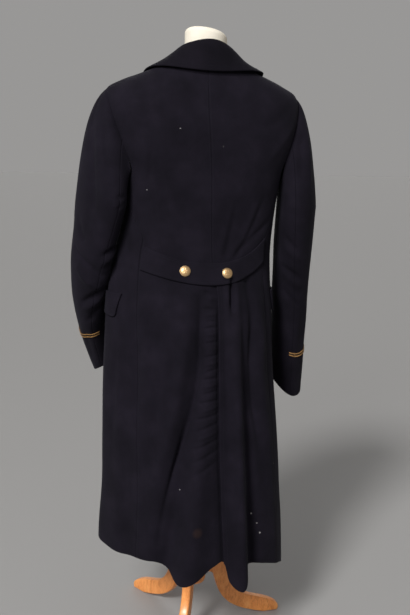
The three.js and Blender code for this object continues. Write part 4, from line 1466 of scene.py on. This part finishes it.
def make_stitching(collar_points, collar_inward):
    step = 4.0
    seam = np.arange(972, 1418, step)
    rows = [body_line(centre_back(seam) + away, seam) for away in (-1.0, 1.0)]
    vent = np.arange(HEM_LEVEL + 14, 942, step)
    rows.append(body_line(centre_back(vent) - 2.6, vent))
    stitch_rows("back_stitching", rows)
    u = np.linspace(-BELT_REACH + 1.6, BELT_REACH - 1.6, 120)
    middle, inner = read(BELT, "u", u, "z"), read(BELT, "u", u, "half") - 6
    over = LAID + DOUBLED
    stitch_rows("belt_stitching", [body_line(u, middle + side * inner, over) for side in (1, -1)])
    seam = np.arange(HEM_LEVEL + 20, 1150, step)
    inside = side_seam(seam) - 1.1
    stitch_rows("side_stitching", [body_line(side * inside, seam) for side in (1, -1)])
    row = collar_points.shape[0] - 5
    edge = collar_points[row, 3:-3] + STITCH["lift"]
    stitch_rows("collar_stitching", [(edge, -collar_inward[row, 3:-3])])


# Camera, light and floor

PITCH, ROLL, THETA = math.radians(11.1), math.radians(1.2), math.radians(15.0)
CAMERA_HEIGHT, CAMERA_DISTANCE, CAMERA_ASIDE = 1250.0, 1970.0, 12.0
FOCAL_PIXELS, FRAME_PIXELS, SENSOR = 800.0, 615.0, 36.0


def make_camera():
    ahead = -np.array([math.sin(THETA), math.cos(THETA), 0])
    right = np.array([-math.cos(THETA), math.sin(THETA), 0])
    spot = right * CAMERA_ASIDE - ahead * CAMERA_DISTANCE + [0, 0, CAMERA_HEIGHT] + FRAME_SHIFT
    forward = ahead * math.cos(PITCH) - np.array([0, 0, math.sin(PITCH)])
    up = ahead * math.sin(PITCH) + np.array([0, 0, math.cos(PITCH)])
    tilted_right = right * math.cos(ROLL) + up * math.sin(ROLL)
    tilted_up = up * math.cos(ROLL) - right * math.sin(ROLL)
    data = bpy.data.cameras.new("camera")
    data.sensor_width = SENSOR
    data.lens = FOCAL_PIXELS * SENSOR / FRAME_PIXELS
    camera = bpy.data.objects.new("camera", data)
    matrix = Matrix([[*row] for row in np.stack([tilted_right, tilted_up, -forward], 1)]).to_4x4()
    matrix.translation = Vector(spot * METRE)
    camera.matrix_world = matrix
    bpy.context.scene.collection.objects.link(camera)
    bpy.context.scene.camera = camera


def add_light(name, kind, spot, aim, energy, **settings):
    data = bpy.data.lights.new(name, kind)
    data.energy = energy
    for key, value in settings.items():
        setattr(data, key, value)
    light = bpy.data.objects.new(name, data)
    light.location = spot
    light.rotation_mode = "QUATERNION"
    light.rotation_quaternion = (Vector(spot) - Vector(aim)).to_track_quat("Z", "Y")
    bpy.context.scene.collection.objects.link(light)


def make_floor(reach=40.0):
    mesh = bpy.data.meshes.new("floor")
    corners = [(x * reach, y * reach, 0) for x, y in ((-1, -1), (1, -1), (1, 1), (-1, 1))]
    mesh.from_pydata(corners, [], [(0, 1, 2, 3)])
    material, tree, shader = surface_material("floor_paper", roughness=0.9, specular=0.2)
    shader.inputs["Base Color"].default_value = (0.31, 0.304, 0.298, 1)
    mesh.materials.append(material)
    floor = bpy.data.objects.new("floor", mesh)
    bpy.context.scene.collection.objects.link(floor)


def make_studio():
    make_floor()
    world = bpy.data.worlds.new("studio")
    world.use_nodes = True
    tree = world.node_tree
    turn = node_in(tree, "ShaderNodeTexCoord")
    up = node_in(tree, "ShaderNodeSeparateXYZ", links={"Vector": turn.outputs["Generated"]})
    greys = [(0.0, (0.42, 0.412, 0.405)), (0.5, (0.42, 0.415, 0.41))]
    sky = colour_ramp(tree, up.outputs["Z"], greys)
    tree.links.new(sky, tree.nodes["Background"].inputs["Color"])
    tree.nodes["Background"].inputs["Strength"].default_value = 0.75
    bpy.context.scene.world = world
    # Two far lights that are even over the floor, and a soft lamp near the upper part of the coat
    add_light("key", "SUN", (1.5, 1.6, 1.9), (0, 0, 0), 2.1, angle=math.radians(12))
    add_light("front", "SUN", (-0.9, -3.2, 2.2), (0, 0, 0), 0.8, angle=math.radians(40))
    add_light("upper", "AREA", (1.5, 2.1, 2.4), (0, 0, 1.2), 38, shape="DISK", size=0.9)
    bpy.context.scene.view_settings.view_transform = "Standard"


make_backs()
make_fronts()
make_lapels()
collar_points, collar_inward = make_collar()
make_sleeve(1, "left", LEFT_SLEEVE, LEFT_CUFF, LEFT_SLEEVE_CREASES)
make_sleeve(-1, "right", RIGHT_SLEEVE, RIGHT_CUFF, RIGHT_SLEEVE_CREASES)
make_half_belt()
make_flap(1, "left")
make_flap(-1, "right")
make_buttons()
make_form()
make_stand()
make_stitching(collar_points, collar_inward)
make_camera()
make_studio()
